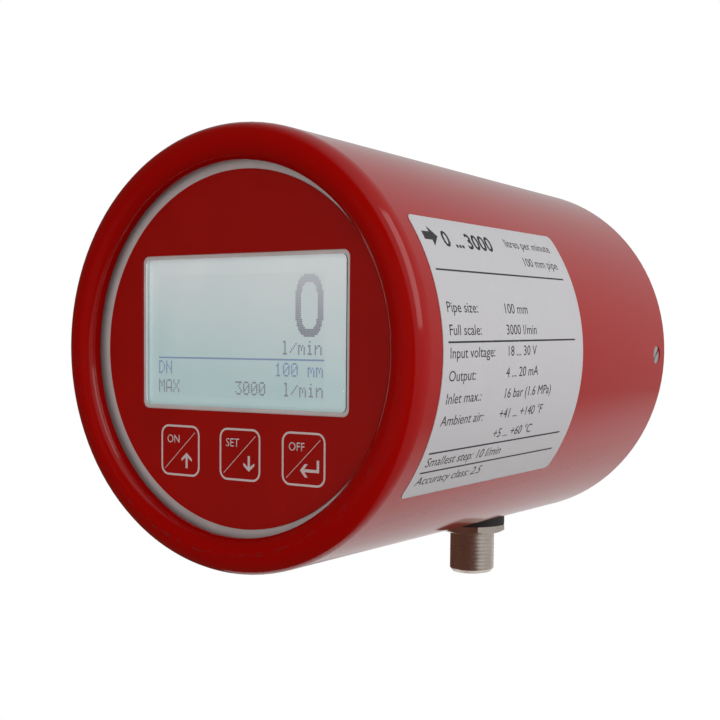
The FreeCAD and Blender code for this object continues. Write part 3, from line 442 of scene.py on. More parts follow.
def make_piece(shape, name, material, body=HEAD, smooth=None):
    """Turns a mesh under work into a piece in its finish, riding on a body if one is given."""
    mesh = bpy.data.meshes.new(name)
    shape.to_mesh(mesh)
    shape.free()
    # Normals stored with a CAD mesh don't fit it any more once it has been worked on
    stored = mesh.attributes.get("custom_normal")
    if stored:
        mesh.attributes.remove(stored)
    mesh.materials.append(material)
    if smooth is not None:
        mesh.polygons.foreach_set("use_smooth", [True] * len(mesh.polygons))
        mesh.set_sharp_from_angle(angle=math.radians(smooth))
    piece = bpy.data.objects.new(name, mesh)
    bpy.context.scene.collection.objects.link(piece)
    if body:
        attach(piece, body)
    return piece


def dress(material, *nodes):
    """Gives pieces of the frame their finish."""
    for node in nodes:
        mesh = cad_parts[node].data
        mesh.materials.clear()
        mesh.materials.append(material)


# Finishes


def add_node(tree, kind, inputs=None, **settings):
    """Adds a shader node with its settings, and fills or links its inputs; a colour has three parts."""
    node = tree.nodes.new("ShaderNode" + kind)
    for name, value in settings.items():
        setattr(node, name, value)
    for key, value in (inputs or {}).items():
        socket = node.inputs[key]
        if isinstance(value, bpy.types.NodeSocket):
            tree.links.new(value, socket)
        else:
            socket.default_value = (*value, 1.0) if socket.type == "RGBA" else value
    return node


MIX_A, MIX_B, MIX_RESULT = 6, 7, 2


def start_finish(name):
    """New material with an empty tree, and the part's own coordinates in metres."""
    material = bpy.data.materials.new(name)
    material.use_nodes = True
    tree = material.node_tree
    tree.nodes.clear()
    return material, tree, add_node(tree, "TexCoord").outputs["Object"]


def end_finish(material, shader):
    """Links a shader to its material's output, and gives the material."""
    add_node(material.node_tree, "OutputMaterial", {"Surface": shader.outputs[0]})
    return material


def relief(tree, at, width, height, detail=2.0):
    """Normal of a surface with a fine relief, from the width and the height of its grains."""
    grain = add_node(tree, "TexNoise", {"Vector": at, "Scale": 1 / width, "Detail": detail})
    return add_node(tree, "Bump", {"Height": grain.outputs["Fac"], "Distance": height}).outputs["Normal"]


def mottled(tree, patches, tint, amount, low=0.35, high=0.65):
    """Colour that wanders over a surface with a noise, from a tint to a darker or paler amount of it."""
    other = tuple(min(1.0, amount * part) for part in tint)
    step = add_node(tree, "MapRange", {"Value": patches.outputs["Fac"], "From Min": low, "From Max": high})
    tone = add_node(tree, "Mix", {
        "Factor": step.outputs["Result"], MIX_A: tint, MIX_B: other}, data_type="RGBA")
    return tone.outputs[MIX_RESULT]


def powder_coat(look):
    """Gloss powder coat, sprayed on turned aluminium and baked.

    The eye gets a deep red under a clear gloss, broken by the coat's fine ripple, and thin dark rubbed marks
    along the foot of the lip's foremost line, where the head has been set down.
    """
    material, tree, at = start_finish("Gloss red powder coat")
    cloud = add_node(tree, "TexNoise", {"Vector": at, "Scale": 1 / (25 * MM), "Detail": 3.0})
    gloss = add_node(tree, "MapRange", {
        "Value": cloud.outputs["Fac"], "From Min": 0.3, "From Max": 0.7, "To Min": 0.09, "To Max": 0.12})
    part = add_node(tree, "SeparateXYZ", {"Vector": at})
    flat = add_node(tree, "CombineXYZ", {"X": part.outputs["X"], "Y": part.outputs["Z"]})
    radius = add_node(tree, "VectorMath", {0: flat.outputs["Vector"]}, operation="LENGTH")
    turn = add_node(tree, "Math", {0: part.outputs["Z"], 1: part.outputs["X"]}, operation="ARCTAN2")
    along = add_node(tree, "Math", {
        0: turn.outputs[0], 1: look.crest_radius / look.scuff_length}, operation="MULTIPLY")
    across = add_node(tree, "Math", {0: radius.outputs["Value"], 1: look.scuff_width}, operation="DIVIDE")
    streak = add_node(tree, "CombineXYZ", {"X": along.outputs[0], "Y": across.outputs[0]})
    rub = add_node(tree, "TexNoise", {
        "Vector": streak.outputs["Vector"], "Scale": 1.0, "Detail": 5.0, "Roughness": 0.65})
    worn = add_node(tree, "MapRange", {
        "Value": rub.outputs["Fac"], "From Min": 0.53, "From Max": 0.62, "To Max": 0.7})
    crest = add_node(tree, "Math", {
        0: radius.outputs["Value"], 1: look.crest_radius, 2: look.scuff_width}, operation="COMPARE")
    ahead = add_node(tree, "MapRange", {
        "Value": part.outputs["Y"], "From Min": TUBE_LOW.y + 0.8 * MM, "From Max": TUBE_LOW.y + 0.2 * MM})
    foot = add_node(tree, "MapRange", {
        "Value": part.outputs["Z"], "From Min": 15 * MM, "From Max": -32 * MM})
    mark = worn.outputs["Result"]
    for mask in (crest, ahead, foot):
        mark = add_node(tree, "Math", {0: mark, 1: mask.outputs[0]}, operation="MULTIPLY").outputs[0]
    base = add_node(tree, "Mix", {
        "Factor": mark, MIX_A: mottled(tree, cloud, look.paint, 0.964, 0.3, 0.7), MIX_B: look.scuff},
        data_type="RGBA")
    shader = add_node(tree, "BsdfPrincipled", {
        "Base Color": base.outputs[MIX_RESULT], "Roughness": gloss.outputs["Result"], "IOR": 1.45,
        "Normal": relief(tree, at, look.peel, look.peel_height)})
    return end_finish(material, shader)


def plate_lacquer(look):
    """Matt grey lacquer on a turned plate: an even pale grey, with a fine sprayed grit and no shine."""
    material, tree, at = start_finish("Matt grey lacquer")
    dust = add_node(tree, "TexNoise", {"Vector": at, "Scale": 1 / (6 * MM), "Detail": 4.0})
    # The plate's grey carries a slight painted red bounce from the lip
    shader = add_node(tree, "BsdfPrincipled", {
        "Base Color": mottled(tree, dust, look.plate, 0.9), "Roughness": 0.55, "IOR": 1.45,
        "Normal": relief(tree, at, 0.25 * MM, 0.006 * MM)})
    return end_finish(material, shader)


def polyester_film(look):
    """Polyester keypad film, printed red from behind: an even satin red, with the film's velvet grain."""
    material, tree, at = start_finish("Red polyester film")
    tone = add_node(tree, "TexNoise", {"Vector": at, "Scale": 1 / (12 * MM), "Detail": 3.0})
    shader = add_node(tree, "BsdfPrincipled", {
        "Base Color": mottled(tree, tone, look.film, 0.92), "Roughness": 0.42, "IOR": 1.45,
        "Normal": relief(tree, at, 0.3 * MM, 0.004 * MM, 1.0)})
    return end_finish(material, shader)


def printed_ink(name, ink, roughness):
    """Screen printed ink: a flat opaque tone, a little uneven where the screen's mesh let it through."""
    material, tree, at = start_finish(name)
    mesh = add_node(tree, "TexNoise", {"Vector": at, "Scale": 1 / (0.4 * MM), "Detail": 2.0})
    shader = add_node(tree, "BsdfPrincipled", {
        "Base Color": mottled(tree, mesh, ink, 0.88, 0.3, 0.7), "Roughness": roughness})
    return end_finish(material, shader)


def acrylic_pane():
    """Clear cast acrylic: see-through with a faint cool cast, and bright only at its polished edges."""
    material, tree, at = start_finish("Clear acrylic")
    haze = add_node(tree, "TexNoise", {"Vector": at, "Scale": 1 / (8 * MM), "Detail": 2.0})
    rough = add_node(tree, "MapRange", {
        "Value": haze.outputs["Fac"], "From Min": 0.4, "From Max": 0.7, "To Max": 0.03})
    glass = add_node(tree, "BsdfPrincipled", {
        "Base Color": linear("F4F8F8"), "Roughness": rough.outputs["Result"], "IOR": 1.49,
        "Transmission Weight": 1.0})
    clear = add_node(tree, "BsdfTransparent", {"Color": linear("F4F8F8")})
    path = add_node(tree, "LightPath")
    shader = add_node(tree, "MixShader", {
        0: path.outputs["Is Shadow Ray"], 1: glass.outputs[0], 2: clear.outputs[0]})
    return end_finish(material, shader)


def crystal_cell(look):
    """Liquid crystal cell with its light on: a pale grey-green field, brighter towards its upper right,
    partly from the edge lamps of its backlight and partly as painted light: a painted reflection along its
    top and painted shade towards its left and bottom.

    The dots that aren't driven show as a faint grid, a little darker than the margin round them, and a few
    pale specks of dust lie on it.
    """
    material, tree, at = start_finish("Backlit liquid crystal cell")
    part = add_node(tree, "SeparateXYZ", {"Vector": at})
    across = add_node(tree, "Math", {0: part.outputs["X"], 1: look.left}, operation="SUBTRACT")
    down = add_node(tree, "Math", {0: part.outputs["Z"], 1: look.top}, operation="SUBTRACT")
    grid = add_node(tree, "CombineXYZ", {"X": across.outputs[0], "Y": down.outputs[0]})
    dots = add_node(tree, "TexBrick", {
        "Vector": grid.outputs["Vector"], "Scale": 1.0, "Brick Width": look.pitch_across,
        "Row Height": look.pitch_down, "Mortar Size": look.gap, "Mortar Smooth": 0.1, "Bias": -1.0},
        offset=0.0, squash=1.0)
    wide = look.columns * look.pitch_across
    tall = look.rows * look.pitch_down
    centre = (look.left + wide / 2, 0.0, look.top - tall / 2)
    from_centre = add_node(tree, "VectorMath", {0: at, 1: centre}, operation="SUBTRACT")
    aside = add_node(tree, "VectorMath", {0: from_centre.outputs["Vector"]}, operation="ABSOLUTE")
    reach = add_node(tree, "SeparateXYZ", {"Vector": aside.outputs["Vector"]})
    in_wide = add_node(tree, "Math", {0: reach.outputs["X"], 1: wide / 2}, operation="LESS_THAN")
    in_tall = add_node(tree, "Math", {0: reach.outputs["Z"], 1: tall / 2}, operation="LESS_THAN")
    idle = add_node(tree, "MapRange", {"Value": dots.outputs["Fac"], "To Min": 0.1, "To Max": 0.0})
    veil = idle.outputs["Result"]
    for mask in (in_wide, in_tall):
        veil = add_node(tree, "Math", {0: veil, 1: mask.outputs[0]}, operation="MULTIPLY").outputs[0]
    # Brighter towards the top: partly the backlight's edge lamps, partly painted light and shade
    upper = add_node(tree, "MapRange", {
        "Value": part.outputs["Z"], "From Min": -8 * MM, "From Max": 16 * MM})
    cloud = add_node(tree, "TexNoise", {"Vector": at, "Scale": 1 / (14 * MM), "Detail": 1.0})
    uneven = add_node(tree, "MapRange", {
        "Value": cloud.outputs["Fac"], "From Min": 0.3, "From Max": 0.7, "To Min": -0.08, "To Max": 0.12})
    # Darker towards the left: painted shade
    painted_left_shade = add_node(tree, "MapRange", {
        "Value": part.outputs["X"], "From Min": -22 * MM, "From Max": 6 * MM,
        "To Min": -0.3, "To Max": 0.02})
    fall = add_node(tree, "Math", {
        0: uneven.outputs["Result"], 1: painted_left_shade.outputs["Result"]}, operation="ADD")
    lit = add_node(tree, "Math", {
        0: upper.outputs["Result"], 1: fall.outputs[0]}, operation="ADD", use_clamp=True)
    field = add_node(tree, "Mix", {
        "Factor": lit.outputs[0], MIX_A: look.field, MIX_B: look.edge_lamp_and_painted_sheen}, data_type="RGBA")
    dark = tuple(0.5 * tone for tone in look.field)
    shown = add_node(tree, "Mix", {
        "Factor": veil, MIX_A: field.outputs[MIX_RESULT], MIX_B: dark}, data_type="RGBA")
    specks = add_node(tree, "TexVoronoi", {"Vector": at, "Scale": 1 / (3.5 * MM)})
    speck = add_node(tree, "MapRange", {
        "Value": specks.outputs["Distance"], "From Min": 0.035, "From Max": 0.06,
        "To Min": 0.5, "To Max": 0.0})
    dusty = add_node(tree, "Mix", {
        "Factor": speck.outputs["Result"], MIX_A: shown.outputs[MIX_RESULT], MIX_B: linear("E4E6E6")},
        data_type="RGBA")
    shader = add_node(tree, "BsdfPrincipled", {
        "Base Color": dusty.outputs[MIX_RESULT], "Roughness": 0.3,
        "Emission Color": dusty.outputs[MIX_RESULT], "Emission Strength": look.glow})
    return end_finish(material, shader)


def crystal_dots(look):
    """Driven dots of the cell: a soft violet grey.

    They are bluer beside the rule, and washed out towards the upper edge, partly by the backlight's edge
    lamps and partly by a painted reflection there.
    """
    material, tree, at = start_finish("Driven liquid crystal dots")
    part = add_node(tree, "SeparateXYZ", {"Vector": at})
    # Dots pale towards the top with the cell's edge lamps and its painted reflection
    wash = add_node(tree, "MapRange", {
        "Value": part.outputs["Z"], "From Min": 4 * MM, "From Max": 15 * MM, "To Max": 0.5})
    faded = add_node(tree, "Mix", {
        "Factor": wash.outputs["Result"], MIX_A: look.dot, MIX_B: look.edge_lamp_and_painted_sheen}, data_type="RGBA")
    beside = add_node(tree, "Math", {
        0: part.outputs["Z"], 1: -3.0 * MM, 2: 2.2 * MM}, operation="COMPARE")
    shown = add_node(tree, "Mix", {
        "Factor": beside.outputs[0], MIX_A: faded.outputs[MIX_RESULT], MIX_B: look.blue_dot},
        data_type="RGBA")
    shader = add_node(tree, "BsdfPrincipled", {
        "Base Color": shown.outputs[MIX_RESULT], "Roughness": 0.4,
        "Emission Color": shown.outputs[MIX_RESULT], "Emission Strength": look.glow})
    return end_finish(material, shader)


def label_film(look):
    """Matt polyester label film with a metal back: an even silver grey, with small flecks from handling."""
    material, tree, at = start_finish("Silver polyester label")
    tone = add_node(tree, "TexNoise", {"Vector": at, "Scale": 1 / (9 * MM), "Detail": 3.0})
    shader = add_node(tree, "BsdfPrincipled", {
        "Base Color": mottled(tree, tone, look.film, 0.98), "Roughness": 0.5, "IOR": 1.4,
        "Normal": relief(tree, at, 0.35 * MM, 0.003 * MM)})
    return end_finish(material, shader)


def worked_metal(name, tint, roughness, mark, height):
    """Bare or plated metal that was turned, milled or drawn: its own tint, with tool marks in the shine."""
    material, tree, at = start_finish(name)
    tool = add_node(tree, "TexNoise", {"Vector": at, "Scale": 1 / mark, "Detail": 3.0})
    bump = add_node(tree, "Bump", {"Height": tool.outputs["Fac"], "Distance": height})
    shine = add_node(tree, "MapRange", {
        "Value": tool.outputs["Fac"], "From Min": 0.3, "From Max": 0.7,
        "To Min": roughness * 0.8, "To Max": roughness * 1.2})
    stain = add_node(tree, "TexNoise", {"Vector": at, "Scale": 1 / (4 * MM), "Detail": 4.0})
    shader = add_node(tree, "BsdfPrincipled", {
        "Base Color": mottled(tree, stain, tint, 0.86, 0.35, 0.7), "Metallic": 1.0,
        "Roughness": shine.outputs["Result"], "Normal": bump.outputs["Normal"]})
    return end_finish(material, shader)


def turned_aluminium(look):
    """Faced aluminium, clear anodised: a soft silver with the rings that the turning tool left on it.

    The tool's marks are about 0.2 mm apart, and are drawn coarser here so that they show.
    """
    material, tree, at = start_finish("Turned aluminium")
    part = add_node(tree, "SeparateXYZ", {"Vector": at})
    flat = add_node(tree, "CombineXYZ", {"X": part.outputs["X"], "Y": part.outputs["Z"]})
    radius = add_node(tree, "VectorMath", {0: flat.outputs["Vector"]}, operation="LENGTH")
    turns = add_node(tree, "Math", {
        0: radius.outputs["Value"], 1: 2 * math.pi / look.turning}, operation="MULTIPLY")
    ring = add_node(tree, "Math", {0: turns.outputs[0]}, operation="SINE")
    bump = add_node(tree, "Bump", {"Height": ring.outputs[0], "Distance": 0.006 * MM})
    cloud = add_node(tree, "TexNoise", {"Vector": at, "Scale": 1 / (7 * MM), "Detail": 4.0})
    shine = add_node(tree, "MapRange", {
        "Value": cloud.outputs["Fac"], "From Min": 0.3, "From Max": 0.7, "To Min": 0.3, "To Max": 0.33})
    shader = add_node(tree, "BsdfPrincipled", {
        "Base Color": mottled(tree, cloud, look.aluminium, 0.97, 0.3, 0.7), "Metallic": 1.0,
        "Roughness": shine.outputs["Result"], "Normal": bump.outputs["Normal"]})
    return end_finish(material, shader)


def moulded(name, tint, roughness, grain):
    """Moulded plastic or rubber: one dyed tone, with the fine spark-eroded grain of its mould."""
    material, tree, at = start_finish(name)
    flow = add_node(tree, "TexNoise", {"Vector": at, "Scale": 1 / (5 * MM), "Detail": 3.0})
    shader = add_node(tree, "BsdfPrincipled", {
        "Base Color": mottled(tree, flow, tint, 1.15), "Roughness": roughness,
        "Normal": relief(tree, at, grain, 0.01 * MM)})
    return end_finish(material, shader)


def board_laminate():
    """Glass laminate under green solder resist: a glossy green, with the glass weave showing through."""
    material, tree, at = start_finish("Green solder resist")
    weave = add_node(tree, "TexBrick", {
        "Vector": at, "Scale": 1.0, "Brick Width": 0.8 * MM, "Row Height": 0.8 * MM,
        "Mortar Size": 0.12 * MM, "Color1": linear("1D5C36"), "Color2": linear("236840"),
        "Mortar": linear("174A2B")})
    shader = add_node(tree, "BsdfPrincipled", {"Base Color": weave.outputs["Color"], "Roughness": 0.3})
    return end_finish(material, shader)


# Operators


class METER_OT_housing(bpy.types.Operator):
    """Paints the tube, and plates the steel screws, pillars and spacers"""
    bl_idname = "meter.housing"
    bl_label = "Housing"

    def execute(self, context):
        look = context.scene.meter_housing
        dress(powder_coat(look), "housing_tube")
        dress(worked_metal("Zinc plated steel", look.zinc, 0.45, 0.5 * MM, 0.006 * MM),
              "side_screws", "front_pillars", "board_spacers", "board_screws", "cell_screws")
        return {"FINISHED"}


def thread_radius(crest, depth, pitch, along, turn):
    """Radius of a single-start thread, from its crest towards its root, at a place along and round it."""
    crest_share, flank_share = 0.12, 0.74
    phase = (along / pitch + turn / (2 * math.pi)) % 1.0
    fall = abs(phase - 0.5) * 2.0
    flank = min(1.0, max(0.0, (fall - crest_share) / flank_share))
    return crest - depth * flank


class METER_OT_rear_plate(bpy.types.Operator):
    """Cuts the pipe threads into the two ports of the rear plate"""
    bl_idname = "meter.rear_plate"
    bl_label = "Rear plate"

    def execute(self, context):
        look = context.scene.meter_ports
        shape = bmesh.new()
        shape.from_mesh(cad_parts["rear_plate"].data)
        bmesh.ops.remove_doubles(shape, verts=shape.verts[:], dist=0.001 * MM)
        slack = 0.02 * MM
        upright = 0.9
        walls = []
        for side in (-1, 1):
            for face in shape.faces:
                reach = [math.hypot(vert.co.x - side * look.spread, vert.co.z) for vert in face.verts]
                in_port = min(reach) > look.core - slack and max(reach) < look.mouth + slack
                if in_port and abs(face.normal.y) < upright:
                    walls.append(face)
        if not walls:
            raise RuntimeError("the rear plate has no port walls to thread")
        bmesh.ops.delete(shape, geom=walls, context="FACES")
        rims = [edge for edge in shape.edges if edge.is_boundary]
        for side in (-1, 1):
            rows = loft(shape, self.port_rings(look, side))
            for row, depth in ((rows[0], 0.0), (rows[-1], look.floor)):
                rim = [edge for edge in rims if edge.verts[0].co.x * side > 0
                       and abs(edge.verts[0].co.y - REAR_FACE + depth) < slack]
                turn_edges = [shape.edges.get((row[index - 1], row[index])) for index in range(len(row))]
                bmesh.ops.bridge_loops(shape, edges=rim + turn_edges)
        bmesh.ops.recalc_face_normals(shape, faces=shape.faces[:])
        metal = turned_aluminium(context.scene.meter_housing)
        plate = make_piece(shape, "rear_cover", metal, smooth=30)
        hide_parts("rear_plate")
        dress(metal, "rear_plate")
        return {"FINISHED"}

    def port_rings(self, look, side):
        """Rings of points down a port's threaded wall, which end just short of the plate's own rims."""
        seam = 0.1 * MM
        rows = int((look.floor - look.chamfer) / look.pitch * THREAD_ROWS)
        rings = []
        for row in range(rows + 1):
            depth = seam + (look.floor - 2 * seam) * row / rows
            cone = look.mouth - depth * (look.mouth - look.core) / look.chamfer
            runout = min(1.0, max(0.0, (look.floor - depth) / look.pitch))
            ring = []
            for index in range(THREAD_SEGMENTS):
                turn = 2 * math.pi * index / THREAD_SEGMENTS
                groove = look.core - thread_radius(look.core, look.depth, look.pitch, depth, turn)
                wall = max(look.core + groove * runout, cone)
                across = side * look.spread + wall * math.cos(turn)
                ring.append((across, REAR_FACE - depth, wall * math.sin(turn)))
            rings.append(ring)
        return rings


def straight_arrow(tip, way):
    """Outline of an arrow that points up, or down where way is negative, from its tip."""
    half = ((0.0, 0.0), (1.4, 1.2), (1.4, 1.78), (0.27, 0.95), (0.27, 3.2))
    right = [Vector((across * MM, -way * back * MM)) for across, back in half]
    left = [Vector((-point.x, point.y)) for point in reversed(right[1:])]
    return [Vector(tip) * MM + point for point in right + left]


def return_arrow(tip):
    """Outline of an arrow that comes down, turns a corner and points left."""
    corners = ((0.0, 0.0), (1.16, -1.3), (1.89, -1.3), (1.03, -0.3), (4.6, -0.3), (4.6, 2.15), (4.04, 2.15),
               (4.04, 0.3), (1.03, 0.3), (1.89, 1.3), (1.16, 1.3))
    return [(Vector(tip) + Vector(corner)) * MM for corner in corners]


KEY_PRINTS = {
    "on_key": ("ON", straight_arrow((1.73, -0.42), 1)),
    "set_key": ("SET", straight_arrow((2.33, -3.33), -1)),
    "off_key": ("OFF", return_arrow((-0.83, -2.2))),
}
KEY_DIAGONAL = ((-4.2 * MM, -3.9 * MM), (4.02 * MM, 3.9 * MM))


class METER_OT_keypad(bpy.types.Operator):
    """Covers the face plate with one red film, with a pad and four bands over each key, and prints the keys
    """
    bl_idname = "meter.keypad"
    bl_label = "Keypad"

    def execute(self, context):
        look = context.scene.meter_keypad
        film = polyester_film(look)
        ink = printed_ink("Pale screen ink", look.ink, 0.5)
        thick = FOIL_HIGH.y - FOIL_LOW.y
        opening = look.pad + 2 * look.hinge
        tight_corner = 0.006 * MM
        window = on_face(middle(PANE_LOW, PANE_HIGH))
        places = {key: on_face(middle(*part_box(key))) for key in KEYS}
        sheet = bmesh.new()
        holes = [rounded(spot, opening, opening, tight_corner, 1) for spot in places.values()]
        cut = rounded(window, look.cut_wide, look.cut_tall, look.edge_round)
        fill(sheet, circle(FOIL_HIGH.x, 180), cut, *holes)
        thicken(sheet, thick)
        lay_on_face(sheet, FOIL_HIGH.y)
        cover = make_piece(sheet, "keypad_film", film)
        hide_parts("keypad_foil")
        for key, spot in places.items():
            self.dimple(look, film, key, spot, thick)
            self.key_print(look, ink, key, spot)
        dress(film, "keypad_foil")
        dress(plate_lacquer(look), "face_plate")
        dress(moulded("Moulded grey ABS", linear("BEBEBE"), 0.45, 0.3 * MM), *KEYS)
        return {"FINISHED"}

    def dimple(self, look, film, key, spot, thick):
        """Makes the stiff pad over a key, which rides on the key, and the four mitred bands of film round
        it.
        """
        inner = look.pad / 2
        sheet = bmesh.new()
        corners = [Vector(corner) * inner for corner in ((1, 1), (-1, 1), (-1, -1), (1, -1))]
        fill(sheet, corners)
        thicken(sheet, thick)
        lay_on_face(sheet, FOIL_HIGH.y, spot)
        make_piece(sheet, key + "_film", film, key)
        steps = 6
        for number, turn in enumerate((0.0, 90.0, 180.0, 270.0)):
            sheet = bmesh.new()
            for step in range(steps):
                near = inner + look.hinge * step / steps
                far = inner + look.hinge * (step + 1) / steps
                sheet.faces.new([sheet.verts.new((across, up, 0.0))
                                 for across, up in ((-near, near), (near, near), (far, far), (-far, far))])
            bmesh.ops.remove_doubles(sheet, verts=sheet.verts[:], dist=0.001 * MM)
            thicken(sheet, thick)
            quarter = Matrix.Rotation(math.radians(turn), 3, "Z")
            bmesh.ops.rotate(sheet, verts=sheet.verts[:], matrix=quarter)
            lay_on_face(sheet, FOIL_HIGH.y, spot)
            band = make_piece(sheet, f"{key}_flex_{number + 1}", film, None)
            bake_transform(band)

    def key_print(self, look, ink, key, spot):
        """Prints a key's frame, diagonal, word and arrow."""
        word, arrow = KEY_PRINTS[key]
        line = look.outline_stroke
        sheet = bmesh.new()
        frame_line = rounded(Vector((0.0, 0.0)), look.outline_wide - line, look.outline_tall - line,
                             look.outline_corner - line / 2, 10)
        stroke(sheet, frame_line, line, closed=True)
        stroke(sheet, KEY_DIAGONAL, look.hairline)
        words(sheet, word, look.word_left, look.word_base, look.word_tall, narrow=0.93, weight=0.004)
        fill(sheet, arrow)
        thicken(sheet, look.ink_height)
        lay_on_face(sheet, FOIL_LOW.y, spot)
        make_piece(sheet, key + "_print", ink, key)


# Glyphs of five by seven dots, from the top row down
GLYPHS = {
    "0": "01110 10001 10011 10101 11001 10001 01110",
    "1": "00100 01100 00100 00100 00100 00100 01110",
    "3": "11111 00010 00100 00010 00001 10001 01110",
    "l": "01100 00100 00100 00100 00100 00100 01110",
    "/": "00000 00001 00010 00100 01000 10000 00000",
    "m": "00000 00000 11010 10101 10101 10001 10001",
    "i": "00100 00000 01100 00100 00100 00100 01110",
    "n": "00000 00000 10110 11001 10001 10001 10001",
    "D": "11100 10010 10001 10001 10001 10010 11100",
    "N": "10001 10001 11001 10101 10011 10001 10001",
    "M": "10001 11011 10101 10101 10001 10001 10001",
    "A": "01110 10001 10001 10001 11111 10001 10001",
    "X": "10001 10001 01010 00100 01010 10001 10001",
    " ": "00000 00000 00000 00000 00000 00000 00000",
}
GLYPH_ADVANCE = 6


def line_dots(text, row, left=None, right=None):
    """Dots of a line of glyphs, as column and row, from its left end or up to its right end."""
    if left is None:
        left = right - GLYPH_ADVANCE * len(text) + 1
    dots = []
    for place_in_line, letter in enumerate(text):
        for down, bits in enumerate(GLYPHS[letter].split()):
            for across, bit in enumerate(bits):
                if bit == "1":
                    dots.append((left + GLYPH_ADVANCE * place_in_line + across, row + down))
    return dots


def big_nought(left, top, wide, tall, side, cap):
    """Dots of a large nought: a ring between two rounded ovals."""
    squareness = 2.8

    def within(column, row, trim_across, trim_down):
        across = (column + 0.5 - wide / 2) / (wide / 2 - trim_across)
        down = (row + 0.5 - tall / 2) / (tall / 2 - trim_down)
        return abs(across) ** squareness + abs(down) ** squareness <= 1.0

    return [(left + column, top + row) for column in range(wide) for row in range(tall)
            if within(column, row, 0, 0) and not within(column, row, side, cap)]


class METER_OT_display(bpy.types.Operator):
    """Fits the pane over the liquid crystal cell and sets its dots to a reading of nought"""
    bl_idname = "meter.display"
    bl_label = "Display"

    def execute(self, context):
        look = context.scene.meter_display
        clear = acrylic_pane()
        window = make_piece(self.pane(look), "display_pane", clear)
        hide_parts("display_window")
        dress(clear, "display_window")
        dress(crystal_cell(look), "lcd_glass")
        dot_height = 0.02 * MM
        wide = look.pitch_across - look.gap
        tall = look.pitch_down - look.gap
        sheet = bmesh.new()
        for column, row in self.reading(look):
            left = look.left + column * look.pitch_across + look.gap / 2
            top = look.top - row * look.pitch_down - look.gap / 2
            sheet.faces.new([sheet.verts.new((left + across * wide, top - tall + up * tall, 0.0))
                             for across, up in ((0, 0), (1, 0), (1, 1), (0, 1))])
        thicken(sheet, dot_height)
        lay_on_face(sheet, CELL_FRONT - dot_height)
        make_piece(sheet, "display_dots", crystal_dots(look))
        return {"FINISHED"}

    def pane(self, look):
        """Moulds the pane: its rim lies behind the plate, and its raised middle fills the window."""
        centre = on_face(middle(PANE_LOW, PANE_HIGH))
        wide, tall = PANE_HIGH.x - PANE_LOW.x, PANE_HIGH.z - PANE_LOW.z
        front = PLATE_FRONT - look.pane_rise
        steps = ((0.0, PANE_HIGH.y - look.pane_gap), (0.0, PANE_LOW.y), (look.pane_lap, PANE_LOW.y),
                 (look.pane_lap, front + look.pane_bevel), (look.pane_lap + look.pane_bevel, front))
        rings = []
        for inset, depth in steps:
            outline = rounded(centre, wide - 2 * inset, tall - 2 * inset, look.pane_corner)
            rings.append([(point.x, depth, point.y) for point in outline])
        shape = bmesh.new()
        rows = loft(shape, rings)
        for row in (rows[0], rows[-1]):
            shape.faces.new(row)
        bmesh.ops.recalc_face_normals(shape, faces=shape.faces[:])
        return shape

    def reading(self, look):
        """Dots of the whole screen: the reading and its unit, a rule, and two lines of settings."""
        last = look.columns - 1
        rule_row, upper_row, lower_row = 43, 45, 55
        dots = big_nought(left=last - 20, top=1, wide=20, tall=31, side=4, cap=4)
        dots += line_dots(look.unit, row=34, right=last - 1)
        dots += [(column, rule_row) for column in range(look.columns)]
        dots += line_dots("DN", upper_row, left=0)
        dots += line_dots("100 mm", upper_row, right=last)
        dots += line_dots("MAX", lower_row, left=0)
        dots += line_dots("3000", lower_row, left=62)
        dots += line_dots(look.unit, lower_row, right=last)
        return dots


# Lines of the label: what each says, and how much; a rule follows the lines that RULED_LINES counts
LABEL_RANGE = "0 ... 3000"
LABEL_NOTES = ("litres per minute", "100 mm pipe")
LABEL_LINES = (
    ("Pipe size:", "100 mm"),
    ("Full scale:", "3000 l/min"),
    ("Input voltage:", "18 ... 30 V"),
    ("Output:", "4 ... 20 mA"),
    ("Inlet max.:", "16 bar (1.6 MPa)"),
    ("Ambient air:", "+41 ... +140 °F"),
    ("", "+5 ... +60 °C"),
    ("Smallest step: 10 l/min", ""),
    ("Accuracy class: 2.5", ""),
)
RULED_LINES = (1, 6, 7)


